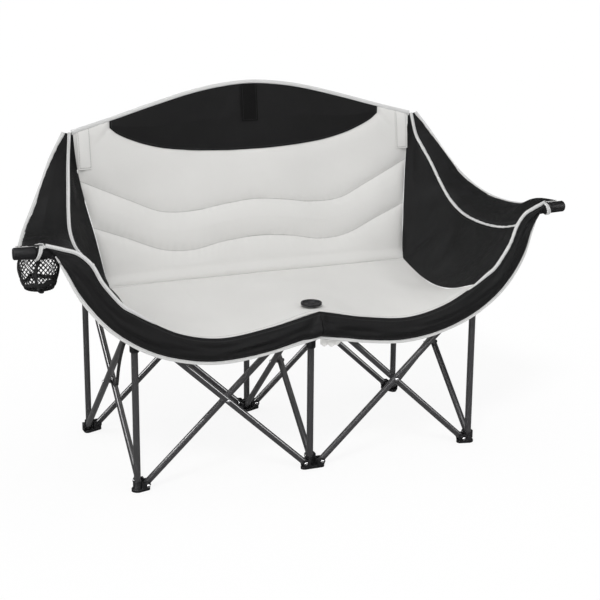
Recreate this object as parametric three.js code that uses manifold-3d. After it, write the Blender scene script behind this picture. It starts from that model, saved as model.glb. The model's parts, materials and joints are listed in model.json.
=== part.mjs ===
// A folding loveseat: six feet in a grid two bays wide and one bay deep, joined by seven
// scissor pairs, with telescoping front legs, rear posts that run through sliding hubs, and a
// padded cloth seat hung between them. Millimetres, +Z up, +X to the right as seen from the
// front, +Y to the back. The origin is on the floor, under the middle of the whole loveseat.
import * as THREE from 'three';
import { mergeVertices } from 'three/addons/utils/BufferGeometryUtils.js';
import { ConvexGeometry } from 'three/addons/geometries/ConvexGeometry.js';
import Module from 'manifold-3d';

const wasm = await Module();
wasm.setup();

// Frame: posts, bays and the pivots that every scissor tube shares
const bay = 450;
const pivotReach = 22;
const footPivotHeight = 17;
const hubPivotHeight = 397;
const tubeRadius = 8;
const tubeGap = 2;
const tubeEndPast = 6;
const tubeEndChamfer = 3;
const armPlane = 18;
const fit = 0.35;
const overrun = 2;
const roundSides = 12;
const tubeSides = 12;
const pinSides = 6;
const mergeWithin = 1e-4;
const straightWithin = 1e-6;

// Pins and rivets
const pinRadius = 2.6;
const pinPlay = 0.75;
const rivetHeadRadius = 5;
const rivetHeadHeight = 1.8;
const rivetCrownShare = 0.6;
const spacerRadius = 6.5;

// Brackets on feet and hubs
const bossRadius = 11.2;
const earThickness = 3;
const earPlay = 0.5;
const earEndRadius = 8.5;
const earRootRise = 7;
const webStart = 9;
const webDepth = 2.6;
const earArcFrom = -0.25 * Math.PI;
const earArcTo = 0.6 * Math.PI;
const earArcSteps = 4;

// Feet
const footPlateThickness = 7;
const footPlateEdge = 1.5;
const footCentreRadius = 15;
const footArmRadius = 9.5;
const footBossHeight = 26;
const footSocketFloor = 4;

// Hubs
const hubHeightBelow = 12;
const hubHeightAbove = 13.8;
const hubRoof = 4;

// Front legs: an outer tube, a collar on its top and an inner tube that slides in it
const legRadius = 8.5;
const legBoreRadius = 7.3;
const sideLegBelowHub = 24;
const centreLegBelowHub = 65;
const innerRadius = 6.5;
const innerFoot = 92;
const collarWall = 3.4;
const collarLength = 26;
const collarLip = 3;
const collarEdge = 1;
const innerEndChamfer = 1;

// Rear posts
const postRadius = 8;
const sidePostBelow = 7;
const centrePostBelow = 12;

// Arms: the long tube of each front scissor runs on past its hub, bends and ends in a cap
const armStraightPast = 30;
const armReach = 205;
const armEndBack = 20;
const armEndRise = 208;
const armBendIn = 100;
const armBendOut = 55;
const armTailBack = 6;
const armSteps = 8;
const capRadius = 14.5;
const capNeckRadius = 11.5;
const capNeck = 12;
const capLength = 66;
const capWall = 9;
const capRound = 3;
const capEndPlay = 5;

// Cloth: thicknesses, and the gap that sewn pieces keep
const clothThickness = 3;
const hemThickness = 4;
const padThickness = 12;
const seamGap = 0.4;
const clothAhead = 19;

// Back panel
const backPastPost = 20;
const backBottomDrop = 2;
const backCornerRise = 386;
const backCrownRise = 105;
const backFootIn = 118;
const pocketFace = 4;
const backTaper = 56;
const backSag = 14;
const quiltDepth = 6;
const quiltWidth = 26;
const backEdgeShare = 0.125;
const pocketFromShare = 0.6;
const pocketFadeShare = 0.2;
const backWideSteps = 28;
const backTallSteps = 16;

// Seat
const seatAboveHub = 19;
const seatRearRise = 3;
const seatFrontReach = 48;
const seatPastPost = 10;
const seatStrip = 30;
const seatRidge = 238;
const seatPad = 9;
const seatRiseShare = 1.15;
const seatEdgeShare = 0.14;
const seatEndShare = 0.945;
const seatSideSag = 40;
const seatWideSteps = 8;
const seatDeepSteps = 9;
const seatStripWideSteps = 3;

// Front band and its hem
const bandEndIn = 5;
const bandEndRise = 17;
const bandFall = 405;
const bandEndBack = 8;
const bandWideSteps = 20;
const bandTallSteps = 3;

// Armrests
const armrestTipPast = 57;
const armrestTipBack = 42;
const armrestTipRise = 19;
const wingTopInset = 12;
const wingTopWidth = 12;
const wingSideShare = 0.5;
const wingInnerShare = 0.62;
const wingTipShare = 0.55;
const wingWideSteps = 13;
const wingTallSteps = 12;

// Disc over the centre hub
const discRadius = 26;
const discHeight = 6;
const discRim = 4;
const discDish = 2.4;
const discBoss = 8;
const discEdge = 1;
const discSides = 20;

// Cup holder
const cupRadius = 47.5;
const cupDepth = 86;
const cupWall = 1.6;
const cupRimRadius = 40;
const cupRimHeight = 9;
const cupRimWall = 4;
const cupIn = 2;
const cupBack = 71;
const cupSides = 20;

// Hanging strap
const strapWidth = 9;
const strapThickness = 1.6;
const strapLength = 145;
const strapPast = 18;
const strapDrop = 14;
const strapFront = 36.2;
const strapLeanAngle = 0.19;

// Worked out from the sizes above
const span = bay - 2 * pivotReach;
const rise = hubPivotHeight - footPivotHeight;
const tubeLength = Math.hypot(span, rise);
const tubeStep = 2 * tubeRadius + tubeGap;
const sidePlane = tubeStep / 2;
const shortPlane = armPlane - tubeStep;
const backTop = bay - postRadius - fit - pocketFace / 2;
const clothHalf = clothThickness / 2;
const behindBand = clothThickness + 2 * seamGap;
const seatFrontHeight = hubPivotHeight + seatAboveHub;
const seatRearHeight = seatFrontHeight + seatRearRise;
const backBottom = seatRearHeight - backBottomDrop;
const backCornerHeight = seatFrontHeight + backCornerRise;
const backCrownHeight = backCornerHeight + backCrownRise;
const sidePostTop = backCornerHeight - sidePostBelow;
const centrePostTop = backCrownHeight - centrePostBelow;
const sideLegTop = hubPivotHeight - sideLegBelowHub;
const centreLegTop = hubPivotHeight - centreLegBelowHub;
const armEndHeight = hubPivotHeight + armEndRise;
const armTail = capLength - capWall - capEndPlay;
const strapTop = seatFrontHeight - strapDrop;
const frontLine = -bay / 2 + clothAhead;
const backHalfWidth = bay + backPastPost;
const backBottomHalfWidth = backHalfWidth - backTaper;
const backFoot = bay - backFootIn;
const seatCornerOut = bay + seatPastPost;
const seatEndOut = seatCornerOut * seatEndShare;
const armEndOut = bay + armReach;
const bandEndOut = armEndOut - bandEndIn;
const bandEndHeight = armEndHeight + bandEndRise;
const armrestTipOut = armEndOut + armrestTipPast;
const armrestTipHeight = armEndHeight + armrestTipRise;
const cupOut = armEndOut - cupIn;
const strapOut = seatCornerOut + strapPast;

// Materials
const matte = (color, roughness, metalness = 0) =>
  new THREE.MeshStandardMaterial({ color, roughness, metalness, side: THREE.DoubleSide });
const graphite = matte(0x55545a, 0.45, 0.6);
const blackPlastic = matte(0x141416, 0.55);
const greyCloth = matte(0xd6d6d9, 0.9);
const blackCloth = matte(0x232324, 0.9);
const netCloth = matte(0x2a2a2c, 0.8);

// Solids: conversion between three.js geometry and manifold solids
function toSolid(geometry) {
  const bare = geometry.clone();
  for (const name of Object.keys(bare.attributes)) {
    if (name !== 'position') bare.deleteAttribute(name);
  }
  const merged = mergeVertices(bare, mergeWithin);
  const { Mesh, Manifold } = wasm;
  return new Manifold(new Mesh({
    numProp: 3,
    vertProperties: new Float32Array(merged.attributes.position.array),
    triVerts: new Uint32Array(merged.index.array),
  }));
}

function toGeometry(solid) {
  const mesh = solid.getMesh();
  const geometry = new THREE.BufferGeometry();
  const stride = mesh.numProp;
  const count = mesh.vertProperties.length / stride;
  const positions = new Float32Array(3 * count);
  for (let i = 0; i < count; i += 1) {
    positions.set(mesh.vertProperties.subarray(stride * i, stride * i + 3), 3 * i);
  }
  geometry.setAttribute('position', new THREE.BufferAttribute(positions, 3));
  geometry.setIndex(new THREE.BufferAttribute(new Uint32Array(mesh.triVerts), 1));
  return geometry;
}

const joined = (solids) => solids.reduce((whole, next) => whole.add(next));
const cutBy = (solid, cutters) => cutters.reduce((left, cutter) => left.subtract(cutter), solid);

// A turned solid about Z, from [radius, height] points that start and end on the axis
function turned(points, sides) {
  const profile = points.map(([radius, height]) => new THREE.Vector2(radius, height));
  return new THREE.LatheGeometry(profile, sides).rotateX(Math.PI / 2);
}

function rod(radius, bottom, top, sides) {
  return turned([[0, bottom], [radius, bottom], [radius, top], [0, top]], sides);
}

// A straight scissor tube along +Z with chamfered ends
function tubeBlank(radius, bottom, top, chamfer, sides) {
  return turned([
    [0, bottom], [radius - chamfer, bottom], [radius, bottom + chamfer],
    [radius, top - chamfer], [radius - chamfer, top], [0, top],
  ], sides);
}

// A headed pin along Y from one face to the other, with round heads outside both faces
function headedPin(low, high) {
  const crown = rivetCrownShare * rivetHeadRadius;
  const geometry = turned([
    [0, low - rivetHeadHeight], [crown, low - rivetHeadHeight],
    [rivetHeadRadius, low], [pinRadius, low], [pinRadius, high], [rivetHeadRadius, high],
    [crown, high + rivetHeadHeight], [0, high + rivetHeadHeight],
  ], pinSides);
  return geometry.rotateX(-Math.PI / 2);
}

// A plate in the XZ plane, centred on Y, from its outline in [x, z]
function plate(outline, thickness, middle) {
  const shape = new THREE.Shape(outline.map(([x, z]) => new THREE.Vector2(x, z)));
  const geometry = new THREE.ExtrudeGeometry(shape, { depth: thickness, bevelEnabled: false });
  return geometry.rotateX(Math.PI / 2).translate(0, middle + thickness / 2, 0);
}

function arc(x, y, radius, from, to, steps) {
  const points = [];
  for (let i = 0; i <= steps; i += 1) {
    const angle = from + ((to - from) * i) / steps;
    points.push([x + radius * Math.cos(angle), y + radius * Math.sin(angle)]);
  }
  return points;
}

// Brackets. An arm is { turn, side, ears, floor, height }: turn is the angle about Z that its
// bay lies at, side the tube's offset to the left of that direction, ears how many ears hold the
// tube, floor the lowest height of the ears, and height that of the pivot.
function bracketEar(arm, middle) {
  const root = Math.abs(middle) > bossRadius - earThickness ? webStart : 0;
  const outline = [
    [root, arm.floor],
    [pivotReach + earEndRadius / 2, arm.floor],
    ...arc(pivotReach, arm.height, earEndRadius, earArcFrom, earArcTo, earArcSteps),
    [root, arm.height + earRootRise],
  ];
  return plate(outline, earThickness, middle);
}

function bracketParts(arm) {
  const near = tubeRadius + earPlay + earThickness / 2;
  const inward = arm.side > 0 ? -1 : 1;
  const places = arm.ears === 1 ? [arm.side + inward * near] : [arm.side - near, arm.side + near];
  const parts = places.map((place) => bracketEar(arm, place));
  const reach = Math.max(...places.map(Math.abs)) + earThickness / 2;
  if (arm.ears === 2 && reach > bossRadius) {
    const low = Math.min(0, ...places) - earThickness / 2;
    const high = Math.max(0, ...places) + earThickness / 2;
    const tall = arm.height + earRootRise - arm.floor;
    const web = new THREE.BoxGeometry(webDepth, high - low, tall);
    parts.push(web.translate(webStart + webDepth / 2, (low + high) / 2, arm.floor + tall / 2));
  }
  const clear = tubeRadius + earPlay;
  const pinFrom = arm.side - clear - (arm.ears === 2 || arm.side > 0 ? earThickness : 0);
  const pinTo = arm.side + clear + (arm.ears === 2 || arm.side < 0 ? earThickness : 0);
  parts.push(headedPin(pinFrom, pinTo).translate(pivotReach, 0, arm.height));
  return parts.map((geometry) => toSolid(geometry.rotateZ(arm.turn)));
}

// Feet: a rounded plate, a socket for the post and a bracket towards each bay
function convexOutline(discs) {
  const points = discs.flatMap(([x, y, radius]) => arc(x, y, radius, 0, 2 * Math.PI, roundSides));
  points.sort((a, b) => a[0] - b[0] || a[1] - b[1]);
  const cross = (o, a, b) => (a[0] - o[0]) * (b[1] - o[1]) - (a[1] - o[1]) * (b[0] - o[0]);
  const chain = (list) => {
    const kept = [];
    for (const point of list) {
      while (kept.length > 1 && cross(kept.at(-2), kept.at(-1), point) <= straightWithin) kept.pop();
      kept.push(point);
    }
    return kept.slice(0, -1);
  };
  return [...chain(points), ...chain([...points].reverse())];
}

function footSolid(arms, socketRadius) {
  const discs = [[0, 0, footCentreRadius]];
  for (const arm of arms) {
    const x = pivotReach * Math.cos(arm.turn) - arm.side * Math.sin(arm.turn);
    const y = pivotReach * Math.sin(arm.turn) + arm.side * Math.cos(arm.turn);
    discs.push([x, y, footArmRadius]);
  }
  const lower = convexOutline(discs);
  const upper = convexOutline(discs.map(([x, y, radius]) => [x, y, radius - footPlateEdge]));
  const edgeStart = footPlateThickness - footPlateEdge;
  const corners = [
    ...lower.map(([x, y]) => new THREE.Vector3(x, y, 0)),
    ...lower.map(([x, y]) => new THREE.Vector3(x, y, edgeStart)),
    ...upper.map(([x, y]) => new THREE.Vector3(x, y, footPlateThickness)),
  ];
  const base = toSolid(new ConvexGeometry(corners));
  const boss = toSolid(turned([
    [0, 0], [bossRadius, 0], [bossRadius, footBossHeight - footPlateEdge],
    [bossRadius - footPlateEdge, footBossHeight], [0, footBossHeight],
  ], roundSides));
  const brackets = arms.flatMap(bracketParts);
  const socket = toSolid(rod(socketRadius, footSocketFloor, footBossHeight + overrun, roundSides));
  return joined([base, boss, ...brackets]).subtract(socket);
}

// Hubs: a boss round the post with a bracket towards each bay. A front hub has a roof.
function hubSolid(arms, boreRadius, roofed) {
  const low = hubPivotHeight - hubHeightBelow;
  const high = hubPivotHeight + hubHeightAbove;
  const boss = toSolid(rod(bossRadius, low, high, roundSides));
  const top = roofed ? high - hubRoof : high + overrun;
  const bore = toSolid(rod(boreRadius, low - overrun, top, roundSides));
  return joined([boss, ...arms.flatMap(bracketParts)]).subtract(bore);
}

// The grid of posts, and the scissor pairs between them. In each pair the first tube runs from
// the foot of the first post to the hub of the second, and the second tube the other way.
const columns = { left: -bay, centre: 0, right: bay };
const rows = { front: 0, rear: bay };
const posts = [];
for (const row of Object.keys(rows)) {
  for (const column of Object.keys(columns)) {
    posts.push({ name: `${row}_${column}`, row, column, x: columns[column], y: rows[row] });
  }
}
const postAt = (name) => posts.find((post) => post.name === name);
const pairs = [
  { name: 'front_left', from: 'front_centre', to: 'front_left', first: -armPlane, second: -shortPlane },
  { name: 'front_right', from: 'front_centre', to: 'front_right', first: -armPlane, second: -shortPlane },
  { name: 'rear_left', from: 'rear_centre', to: 'rear_left', first: sidePlane, second: -sidePlane },
  { name: 'rear_right', from: 'rear_centre', to: 'rear_right', first: -sidePlane, second: sidePlane },
  { name: 'side_left', from: 'front_left', to: 'rear_left', first: sidePlane, second: -sidePlane },
  { name: 'side_centre', from: 'front_centre', to: 'rear_centre', first: sidePlane, second: -sidePlane },
  { name: 'side_right', from: 'front_right', to: 'rear_right', first: sidePlane, second: -sidePlane },
];

function bayTurn(from, to) {
  return Math.atan2(to.y - from.y, to.x - from.x);
}

// A plane's offset along +X or +Y, turned into the offset to the left of a direction
function sideOf(turn, plane) {
  const along = Math.abs(Math.cos(turn)) > 0.5;
  return along ? plane * Math.round(Math.cos(turn)) : -plane * Math.round(Math.sin(turn));
}

function armsOf(post, level) {
  const arms = [];
  for (const pair of pairs) {
    if (pair.from !== post.name && pair.to !== post.name) continue;
    const away = postAt(pair.from === post.name ? pair.to : pair.from);
    const turn = bayTurn(post, away);
    const atFrom = pair.from === post.name;
    const plane = atFrom === (level === 'foot') ? pair.first : pair.second;
    const armTube = pair.name.startsWith('front') && level === 'hub' && !atFrom;
    const height = level === 'foot' ? footPivotHeight : hubPivotHeight;
    const floor = level === 'foot' ? footPlateThickness / 2 : hubPivotHeight - earEndRadius;
    arms.push({ turn, side: sideOf(turn, plane), ears: armTube ? 1 : 2, height, floor });
  }
  return arms;
}

// Scissor tubes. Each is drilled for its two end pins and for the rivet at the crossing, and the
// second tube of a pair carries that rivet.
function drillAt(distance) {
  const drill = rod(pinRadius + pinPlay, -tubeStep, tubeStep, pinSides);
  return toSolid(drill.rotateX(Math.PI / 2).translate(0, 0, distance));
}

function placeTube(solid, foot, hub, turn, side) {
  const lean = Math.atan2(span, rise);
  const geometry = toGeometry(solid).rotateY(lean);
  geometry.translate(pivotReach, side, footPivotHeight);
  geometry.rotateZ(turn);
  return geometry.translate(foot.x, foot.y, 0);
}

function straightTube(holes) {
  const blank = toSolid(
    tubeBlank(tubeRadius, -tubeEndPast, tubeLength + tubeEndPast, tubeEndChamfer, tubeSides)
  );
  return cutBy(blank, holes.map(drillAt));
}

function crossingRivet(step) {
  const head = tubeRadius + fit;
  const pin = toSolid(headedPin(-head + Math.min(0, step), head + Math.max(0, step)));
  const spacer = rod(spacerRadius, -tubeGap / 2 + fit, tubeGap / 2 - fit, pinSides);
  const washer = toSolid(spacer.rotateX(Math.PI / 2).translate(0, step / 2, 0));
  return pin.add(washer).translate([0, 0, tubeLength / 2]);
}

// The arm tube: straight past the hub, then a bend up to its level end
function armTube(towards) {
  const lean = Math.atan2(span, rise);
  const along = new THREE.Vector3(Math.sin(lean), 0, Math.cos(lean));
  const foot = new THREE.Vector3(pivotReach, -armPlane, footPivotHeight);
  const start = foot.clone().addScaledVector(along, -tubeEndPast);
  const straightEnd = foot.clone().addScaledVector(along, tubeLength + armStraightPast);
  const bendEnd = new THREE.Vector3(armEndOut, armEndBack, armEndHeight);
  const tail = new THREE.Vector3(armEndOut + armTail, armEndBack + armTailBack, armEndHeight);
  const level = tail.clone().sub(bendEnd).normalize();
  const bend = new THREE.CubicBezierCurve3(
    straightEnd,
    straightEnd.clone().addScaledVector(along, armBendIn),
    bendEnd.clone().addScaledVector(level, -armBendOut),
    bendEnd
  );
  const spine = [start, ...bend.getPoints(armSteps), tail];
  const geometry = sweptRound(spine, tubeRadius, tubeSides);
  const turnHole = (distance) => {
    const drill = rod(pinRadius + pinPlay, -tubeStep, tubeStep, pinSides).rotateX(Math.PI / 2);
    drill.rotateY(lean);
    const place = foot.clone().addScaledVector(along, distance);
    return toSolid(drill.translate(place.x, place.y, place.z));
  };
  const solid = cutBy(toSolid(geometry), [0, tubeLength / 2, tubeLength].map(turnHole));
  return toGeometry(solid.scale([towards, 1, 1]));
}

// A round tube swept along a list of points, with a ring square to the run at each point
function sweptRound(points, radius, sides) {
  const positions = [];
  const index = [];
  const up = new THREE.Vector3(0, 1, 0);
  points.forEach((point, i) => {
    const ahead = points[Math.min(i + 1, points.length - 1)].clone();
    const along = ahead.sub(points[Math.max(i - 1, 0)]).normalize();
    const across = new THREE.Vector3().crossVectors(along, up).normalize();
    const over = new THREE.Vector3().crossVectors(across, along);
    for (let k = 0; k < sides; k += 1) {
      const angle = (2 * Math.PI * k) / sides;
      const place = point.clone().addScaledVector(across, radius * Math.cos(angle));
      place.addScaledVector(over, radius * Math.sin(angle));
      positions.push(place.x, place.y, place.z);
    }
  });
  for (let i = 0; i < points.length - 1; i += 1) {
    for (let k = 0; k < sides; k += 1) {
      const a = i * sides + k;
      const b = i * sides + ((k + 1) % sides);
      index.push(a, a + sides, b, b, a + sides, b + sides);
    }
  }
  const last = (points.length - 1) * sides;
  for (let k = 1; k < sides - 1; k += 1) {
    index.push(0, k, k + 1);
    index.push(last, last + k + 1, last + k);
  }
  const geometry = new THREE.BufferGeometry();
  geometry.setAttribute('position', new THREE.Float32BufferAttribute(positions, 3));
  geometry.setIndex(index);
  return outward(geometry);
}

// Turns a closed mesh's faces outwards, whichever way its grid ran
function outward(geometry) {
  const place = geometry.attributes.position;
  const index = geometry.index.array;
  let volume = 0;
  const a = new THREE.Vector3();
  const b = new THREE.Vector3();
  const c = new THREE.Vector3();
  for (let i = 0; i < index.length; i += 3) {
    a.fromBufferAttribute(place, index[i]);
    b.fromBufferAttribute(place, index[i + 1]);
    c.fromBufferAttribute(place, index[i + 2]);
    volume += a.dot(b.cross(c));
  }
  if (volume < 0) {
    for (let i = 0; i < index.length; i += 3) {
      const kept = index[i + 1];
      index[i + 1] = index[i + 2];
      index[i + 2] = kept;
    }
  }
  return geometry;
}

// Cloth. A sheet is a closed solid round a surface point(u, v), thick(u, v) through.
const normalStepShare = 0.25;
const curveDivisions = 160;
const searchStepShare = 0.002;

function sheet(point, thick, across, along) {
  const positions = [];
  const stepU = normalStepShare / across;
  const stepV = normalStepShare / along;
  const count = (across + 1) * (along + 1);
  for (const face of [1, -1]) {
    for (let j = 0; j <= along; j += 1) {
      for (let i = 0; i <= across; i += 1) {
        const u = i / across;
        const v = j / along;
        const runU = point(Math.min(u + stepU, 1), v).sub(point(Math.max(u - stepU, 0), v));
        const runV = point(u, Math.min(v + stepV, 1)).sub(point(u, Math.max(v - stepV, 0)));
        const normal = runU.cross(runV).normalize();
        const place = point(u, v).addScaledVector(normal, (face * thick(u, v)) / 2);
        positions.push(place.x, place.y, place.z);
      }
    }
  }
  const at = (i, j) => j * (across + 1) + i;
  const index = [];
  const quad = (p, q, r, s) => index.push(p, q, r, p, r, s);
  for (let j = 0; j < along; j += 1) {
    for (let i = 0; i < across; i += 1) {
      quad(at(i, j), at(i + 1, j), at(i + 1, j + 1), at(i, j + 1));
      quad(count + at(i, j), count + at(i, j + 1), count + at(i + 1, j + 1), count + at(i + 1, j));
    }
  }
  for (let i = 0; i < across; i += 1) {
    quad(at(i + 1, 0), at(i, 0), count + at(i, 0), count + at(i + 1, 0));
    quad(at(i, along), at(i + 1, along), count + at(i + 1, along), count + at(i, along));
  }
  for (let j = 0; j < along; j += 1) {
    quad(at(0, j), at(0, j + 1), count + at(0, j + 1), count + at(0, j));
    quad(at(across, j + 1), at(across, j), count + at(across, j), count + at(across, j + 1));
  }
  const geometry = new THREE.BufferGeometry();
  geometry.setAttribute('position', new THREE.Float32BufferAttribute(positions, 3));
  geometry.setIndex(index);
  return outward(geometry);
}

const vec = (x, y, z) => new THREE.Vector3(x, y, z);
const mix = (a, b, t) => a + (b - a) * t;

// A smooth curve through places, read by its share of length
function smooth(places) {
  const curve = new THREE.CatmullRomCurve3(places, false, 'centripetal');
  curve.arcLengthDivisions = curveDivisions;
  return (t) => curve.getPointAt(Math.min(Math.max(t, 0), 1));
}

// A smooth value read from a table of [place, value] pairs
function eased(table, at) {
  let i = 0;
  while (i < table.length - 2 && at > table[i + 1][0]) i += 1;
  const slope = (k) => {
    const low = Math.max(k - 1, 0);
    const high = Math.min(k + 1, table.length - 1);
    return (table[high][1] - table[low][1]) / (table[high][0] - table[low][0]);
  };
  const width = table[i + 1][0] - table[i][0];
  const t = Math.min(Math.max((at - table[i][0]) / width, 0), 1);
  const start = i === 0 ? 0 : slope(i) * width;
  const end = slope(i + 1) * width;
  const a = 2 * t ** 3 - 3 * t ** 2 + 1;
  const b = t ** 3 - 2 * t ** 2 + t;
  const c = -2 * t ** 3 + 3 * t ** 2;
  const d = t ** 3 - t ** 2;
  return a * table[i][1] + b * start + c * table[i + 1][1] + d * end;
}

// A patch between four border curves that meet at its corners
function patch(low, high, left, right) {
  return (u, v) => {
    const place = low(u).multiplyScalar(1 - v).addScaledVector(high(u), v);
    place.addScaledVector(left(v), 1 - u).addScaledVector(right(v), u);
    place.addScaledVector(low(0), -(1 - u) * (1 - v)).addScaledVector(low(1), -u * (1 - v));
    return place.addScaledVector(high(0), -(1 - u) * v).addScaledVector(high(1), -u * v);
  };
}

// The top edge of the front band as shares: out along X of seatCornerOut, and the height and the
// reach forward there, of bandFall and seatFrontReach
const bandTopShares = [
  [0, 1, 1], [0.27, 0.927, 0.88], [0.54, 0.892, 0.8], [0.75, 0.943, 0.84], [0.91, 1.036, 0.88],
  [1, 1.104, 0.86],
];
// The rest of that edge, up to the arm: shares of the way from its corner to the arm's end, and
// the place in them where the armrest starts
const bandRiseShares = [
  [0.13, 0.1, 0.03], [0.26, 0.275, 0.09], [0.38, 0.47, 0.17], [0.49, 0.72, 0.32],
  [0.64, 0.88, 0.55], [0.8, 0.94, 0.76], [1, 1, 1],
];
const armrestStartStep = 3;
// The hem below it: how far out, how high and how far forward, as shares of the same sizes
const hemShares = [
  [0, 0.85, 1.16], [0.3, 0.778, 1], [0.515, 0.751, 0.9], [0.71, 0.776, 0.86], [0.93, 0.862, 0.84],
  [1.135, 1.023, 0.76], [1.267, 1.207, 0.5], [1.335, 1.35, 0.16], [1.375, 1.425, 0],
];

const bandHeight = (share) => seatFrontHeight + (share - 1) * bandFall;
const seatFrontZ = (x) =>
  eased(bandTopShares.map((row) => [row[0] * seatCornerOut, bandHeight(row[1])]), x);
const seatFrontY = (x) =>
  -eased(bandTopShares.map((row) => [row[0] * seatCornerOut, row[2] * seatFrontReach]), x);

const seatFrontAt = (x) => vec(x, seatFrontY(x), seatFrontZ(x));
const seatCorner = seatFrontAt(seatCornerOut);
const bandEnd = vec(bandEndOut, bandEndBack, bandEndHeight);
const risePlaces = bandRiseShares.map(([out, up, back]) =>
  vec(
    mix(seatCorner.x, bandEnd.x, out),
    mix(seatCorner.y, bandEnd.y, back),
    mix(seatCorner.z, bandEnd.z, up)
  )
);
const bandTop = smooth([
  ...bandTopShares.map(([share]) => seatFrontAt(share * seatCornerOut)),
  ...risePlaces,
]);
const hem = smooth(
  hemShares.map(([x, z, y]) => vec(x * seatCornerOut, -y * seatFrontReach, bandHeight(z)))
);
const armrestStart = risePlaces[armrestStartStep];

// The seat ends before the band's corner. From there its side hangs in a sag back to the back
// panel's foot, and the wing's lower border follows it.
const seatEnd = seatFrontAt(seatEndOut);
const sideSag = (share) => seatSideSag * Math.sin(Math.PI * share);

// Back panel: its side border as shares of the way up, out from its bottom corner to its top
// corner, and back from its foot to the posts
const sideBorderShares = [
  [0, 0, 0], [0.065, 0.09, 0.17], [0.17, 0.2, 0.3], [0.3, 0.34, 0.44], [0.44, 0.52, 0.62],
  [0.58, 0.7, 0.79], [0.73, 0.86, 0.91], [0.87, 0.95, 0.98], [1, 1, 1],
];
const borderOutShares = sideBorderShares.map(([up, out]) => [up, out]);
const borderBackShares = sideBorderShares.map(([up, , back]) => [up, back]);
const sideBorder = (share) =>
  vec(
    mix(backBottomHalfWidth, backHalfWidth, eased(borderOutShares, share)),
    mix(backFoot, backTop, eased(borderBackShares, share)),
    mix(backBottom, backCornerHeight, share)
  );
// The top edge: shares of the half width, and of the rise from the corner to the crown
const topEdgeShares = [[0, 1], [0.16, 0.95], [0.33, 0.82], [0.57, 0.54], [0.77, 0.28], [1, 0]];
function topEdge(x) {
  const out = Math.min(Math.abs(x) / backHalfWidth, 1);
  return mix(backCornerHeight, backCrownHeight, eased(topEdgeShares, out));
}

// The two quilted seams: shares of the half width, and of the height up to the corners
const upperSeamShares = [[0, 0.49], [0.17, 0.47], [0.36, 0.435], [0.54, 0.445], [0.7, 0.525], [1, 0.69]];
const lowerSeamShares = [[0, 0.245], [0.2, 0.225], [0.38, 0.185], [0.55, 0.2], [0.76, 0.3], [1, 0.41]];

function backPoint(u, v) {
  const side = 2 * u - 1;
  const border = sideBorder(v);
  const x = side * (border.x - seamGap);
  const top = topEdge(x);
  const z = mix(backBottom, top, v);
  const bays = Math.sin(Math.PI * Math.min(Math.abs(x) / bay, 1)) ** 2;
  return vec(x, border.y + backSag * bays * Math.sin(Math.PI * v), z);
}

function channel(distance) {
  return Math.exp(-((distance / quiltWidth) ** 2));
}

function backThick(u, v) {
  const x = Math.abs(2 * u - 1);
  const height = v * (topEdge(x * backHalfWidth) - backBottom);
  const full = backCornerHeight - backBottom;
  const near = [upperSeamShares, lowerSeamShares].map((table) =>
    channel(height - eased(table, x) * full)
  );
  const edge = Math.min(1, Math.min(u, 1 - u, v, 1 - v) / backEdgeShare);
  const pocket = Math.max(channel(x * backHalfWidth - bay), channel(x * backHalfWidth));
  const flat = pocket * Math.min(1, Math.max(0, v - pocketFromShare) / pocketFadeShare);
  const pad = (padThickness - pocketFace) * Math.sin((edge * Math.PI) / 2) * (1 - flat);
  return pocketFace + Math.max(0, pad - quiltDepth * Math.max(...near) * edge * (1 - flat));
}

// Seat: a height field from the band's top edge back to the foot of the back panel
function seatPiece(from, to, towards) {
  const outer = to === undefined;
  const rear = backFoot - pocketFace / 2 - seamGap;
  const border = (s) => mix(seatEndOut, backBottomHalfWidth, s) - clothHalf;
  const point = (u, v) => {
    const x = outer ? mix(from + seamGap / 2, border(v), u) : mix(from, to - seamGap / 2, u);
    const front = seatFrontY(Math.abs(x)) + clothHalf + 2 * seamGap;
    const z = mix(seatFrontZ(Math.abs(x)), seatRearHeight, v ** seatRiseShare);
    return vec(towards * x, mix(front, rear, v), outer ? z - sideSag(v) * u * u : z);
  };
  const thick = (u, v) => {
    const edges = outer ? [1 - u, v, 1 - v] : [v, 1 - v];
    const edge = Math.min(1, Math.min(...edges) / seatEdgeShare);
    return hemThickness + (seatPad - hemThickness) * Math.sin((edge * Math.PI) / 2);
  };
  return { point, thick };
}

// Wings: the inner side panel and the armrest strip in one sheet, each a patch, joined at the
// piping line between them
const innerEdgeShares = [
  [0, 0, 0], [0.12, 0.26, 0.035], [0.225, 0.39, 0.085], [0.37, 0.57, 0.165],
  [0.52, 0.785, 0.245], [0.64, 0.96, 0.335], [0.7, 1.07, 0.47], [0.72, 1.1, 0.64],
  [0.78, 1.09, 0.79], [0.88, 1.06, 0.9], [1, 1, 1],
];
const outerEdgeShares = [
  [0, 0, 0], [0.19, 0.32, 0.06], [0.35, 0.64, 0.14], [0.5, 0.9, 0.23], [0.66, 1.1, 0.37],
  [0.79, 1.17, 0.57], [0.9, 1.12, 0.79], [1, 1, 1],
];
const wingTopOut = backHalfWidth + wingTopInset;
const wingTopInner = vec(wingTopOut, backTop, backCornerHeight - clothThickness);
const wingTopOuter = vec(wingTopOut + wingTopWidth, backTop, backCornerHeight);
const armrestTip = vec(armrestTipOut, armrestTipBack, armrestTipHeight);
const edgeFrom = (start, end, shares) =>
  smooth(shares.map(([out, down, forward]) =>
    vec(mix(start.x, end.x, out), mix(start.y, end.y, forward), mix(start.z, end.z, down))));
const innerEdge = edgeFrom(wingTopInner, armrestStart, innerEdgeShares);
const outerEdge = edgeFrom(wingTopOuter, armrestTip, outerEdgeShares);

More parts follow.
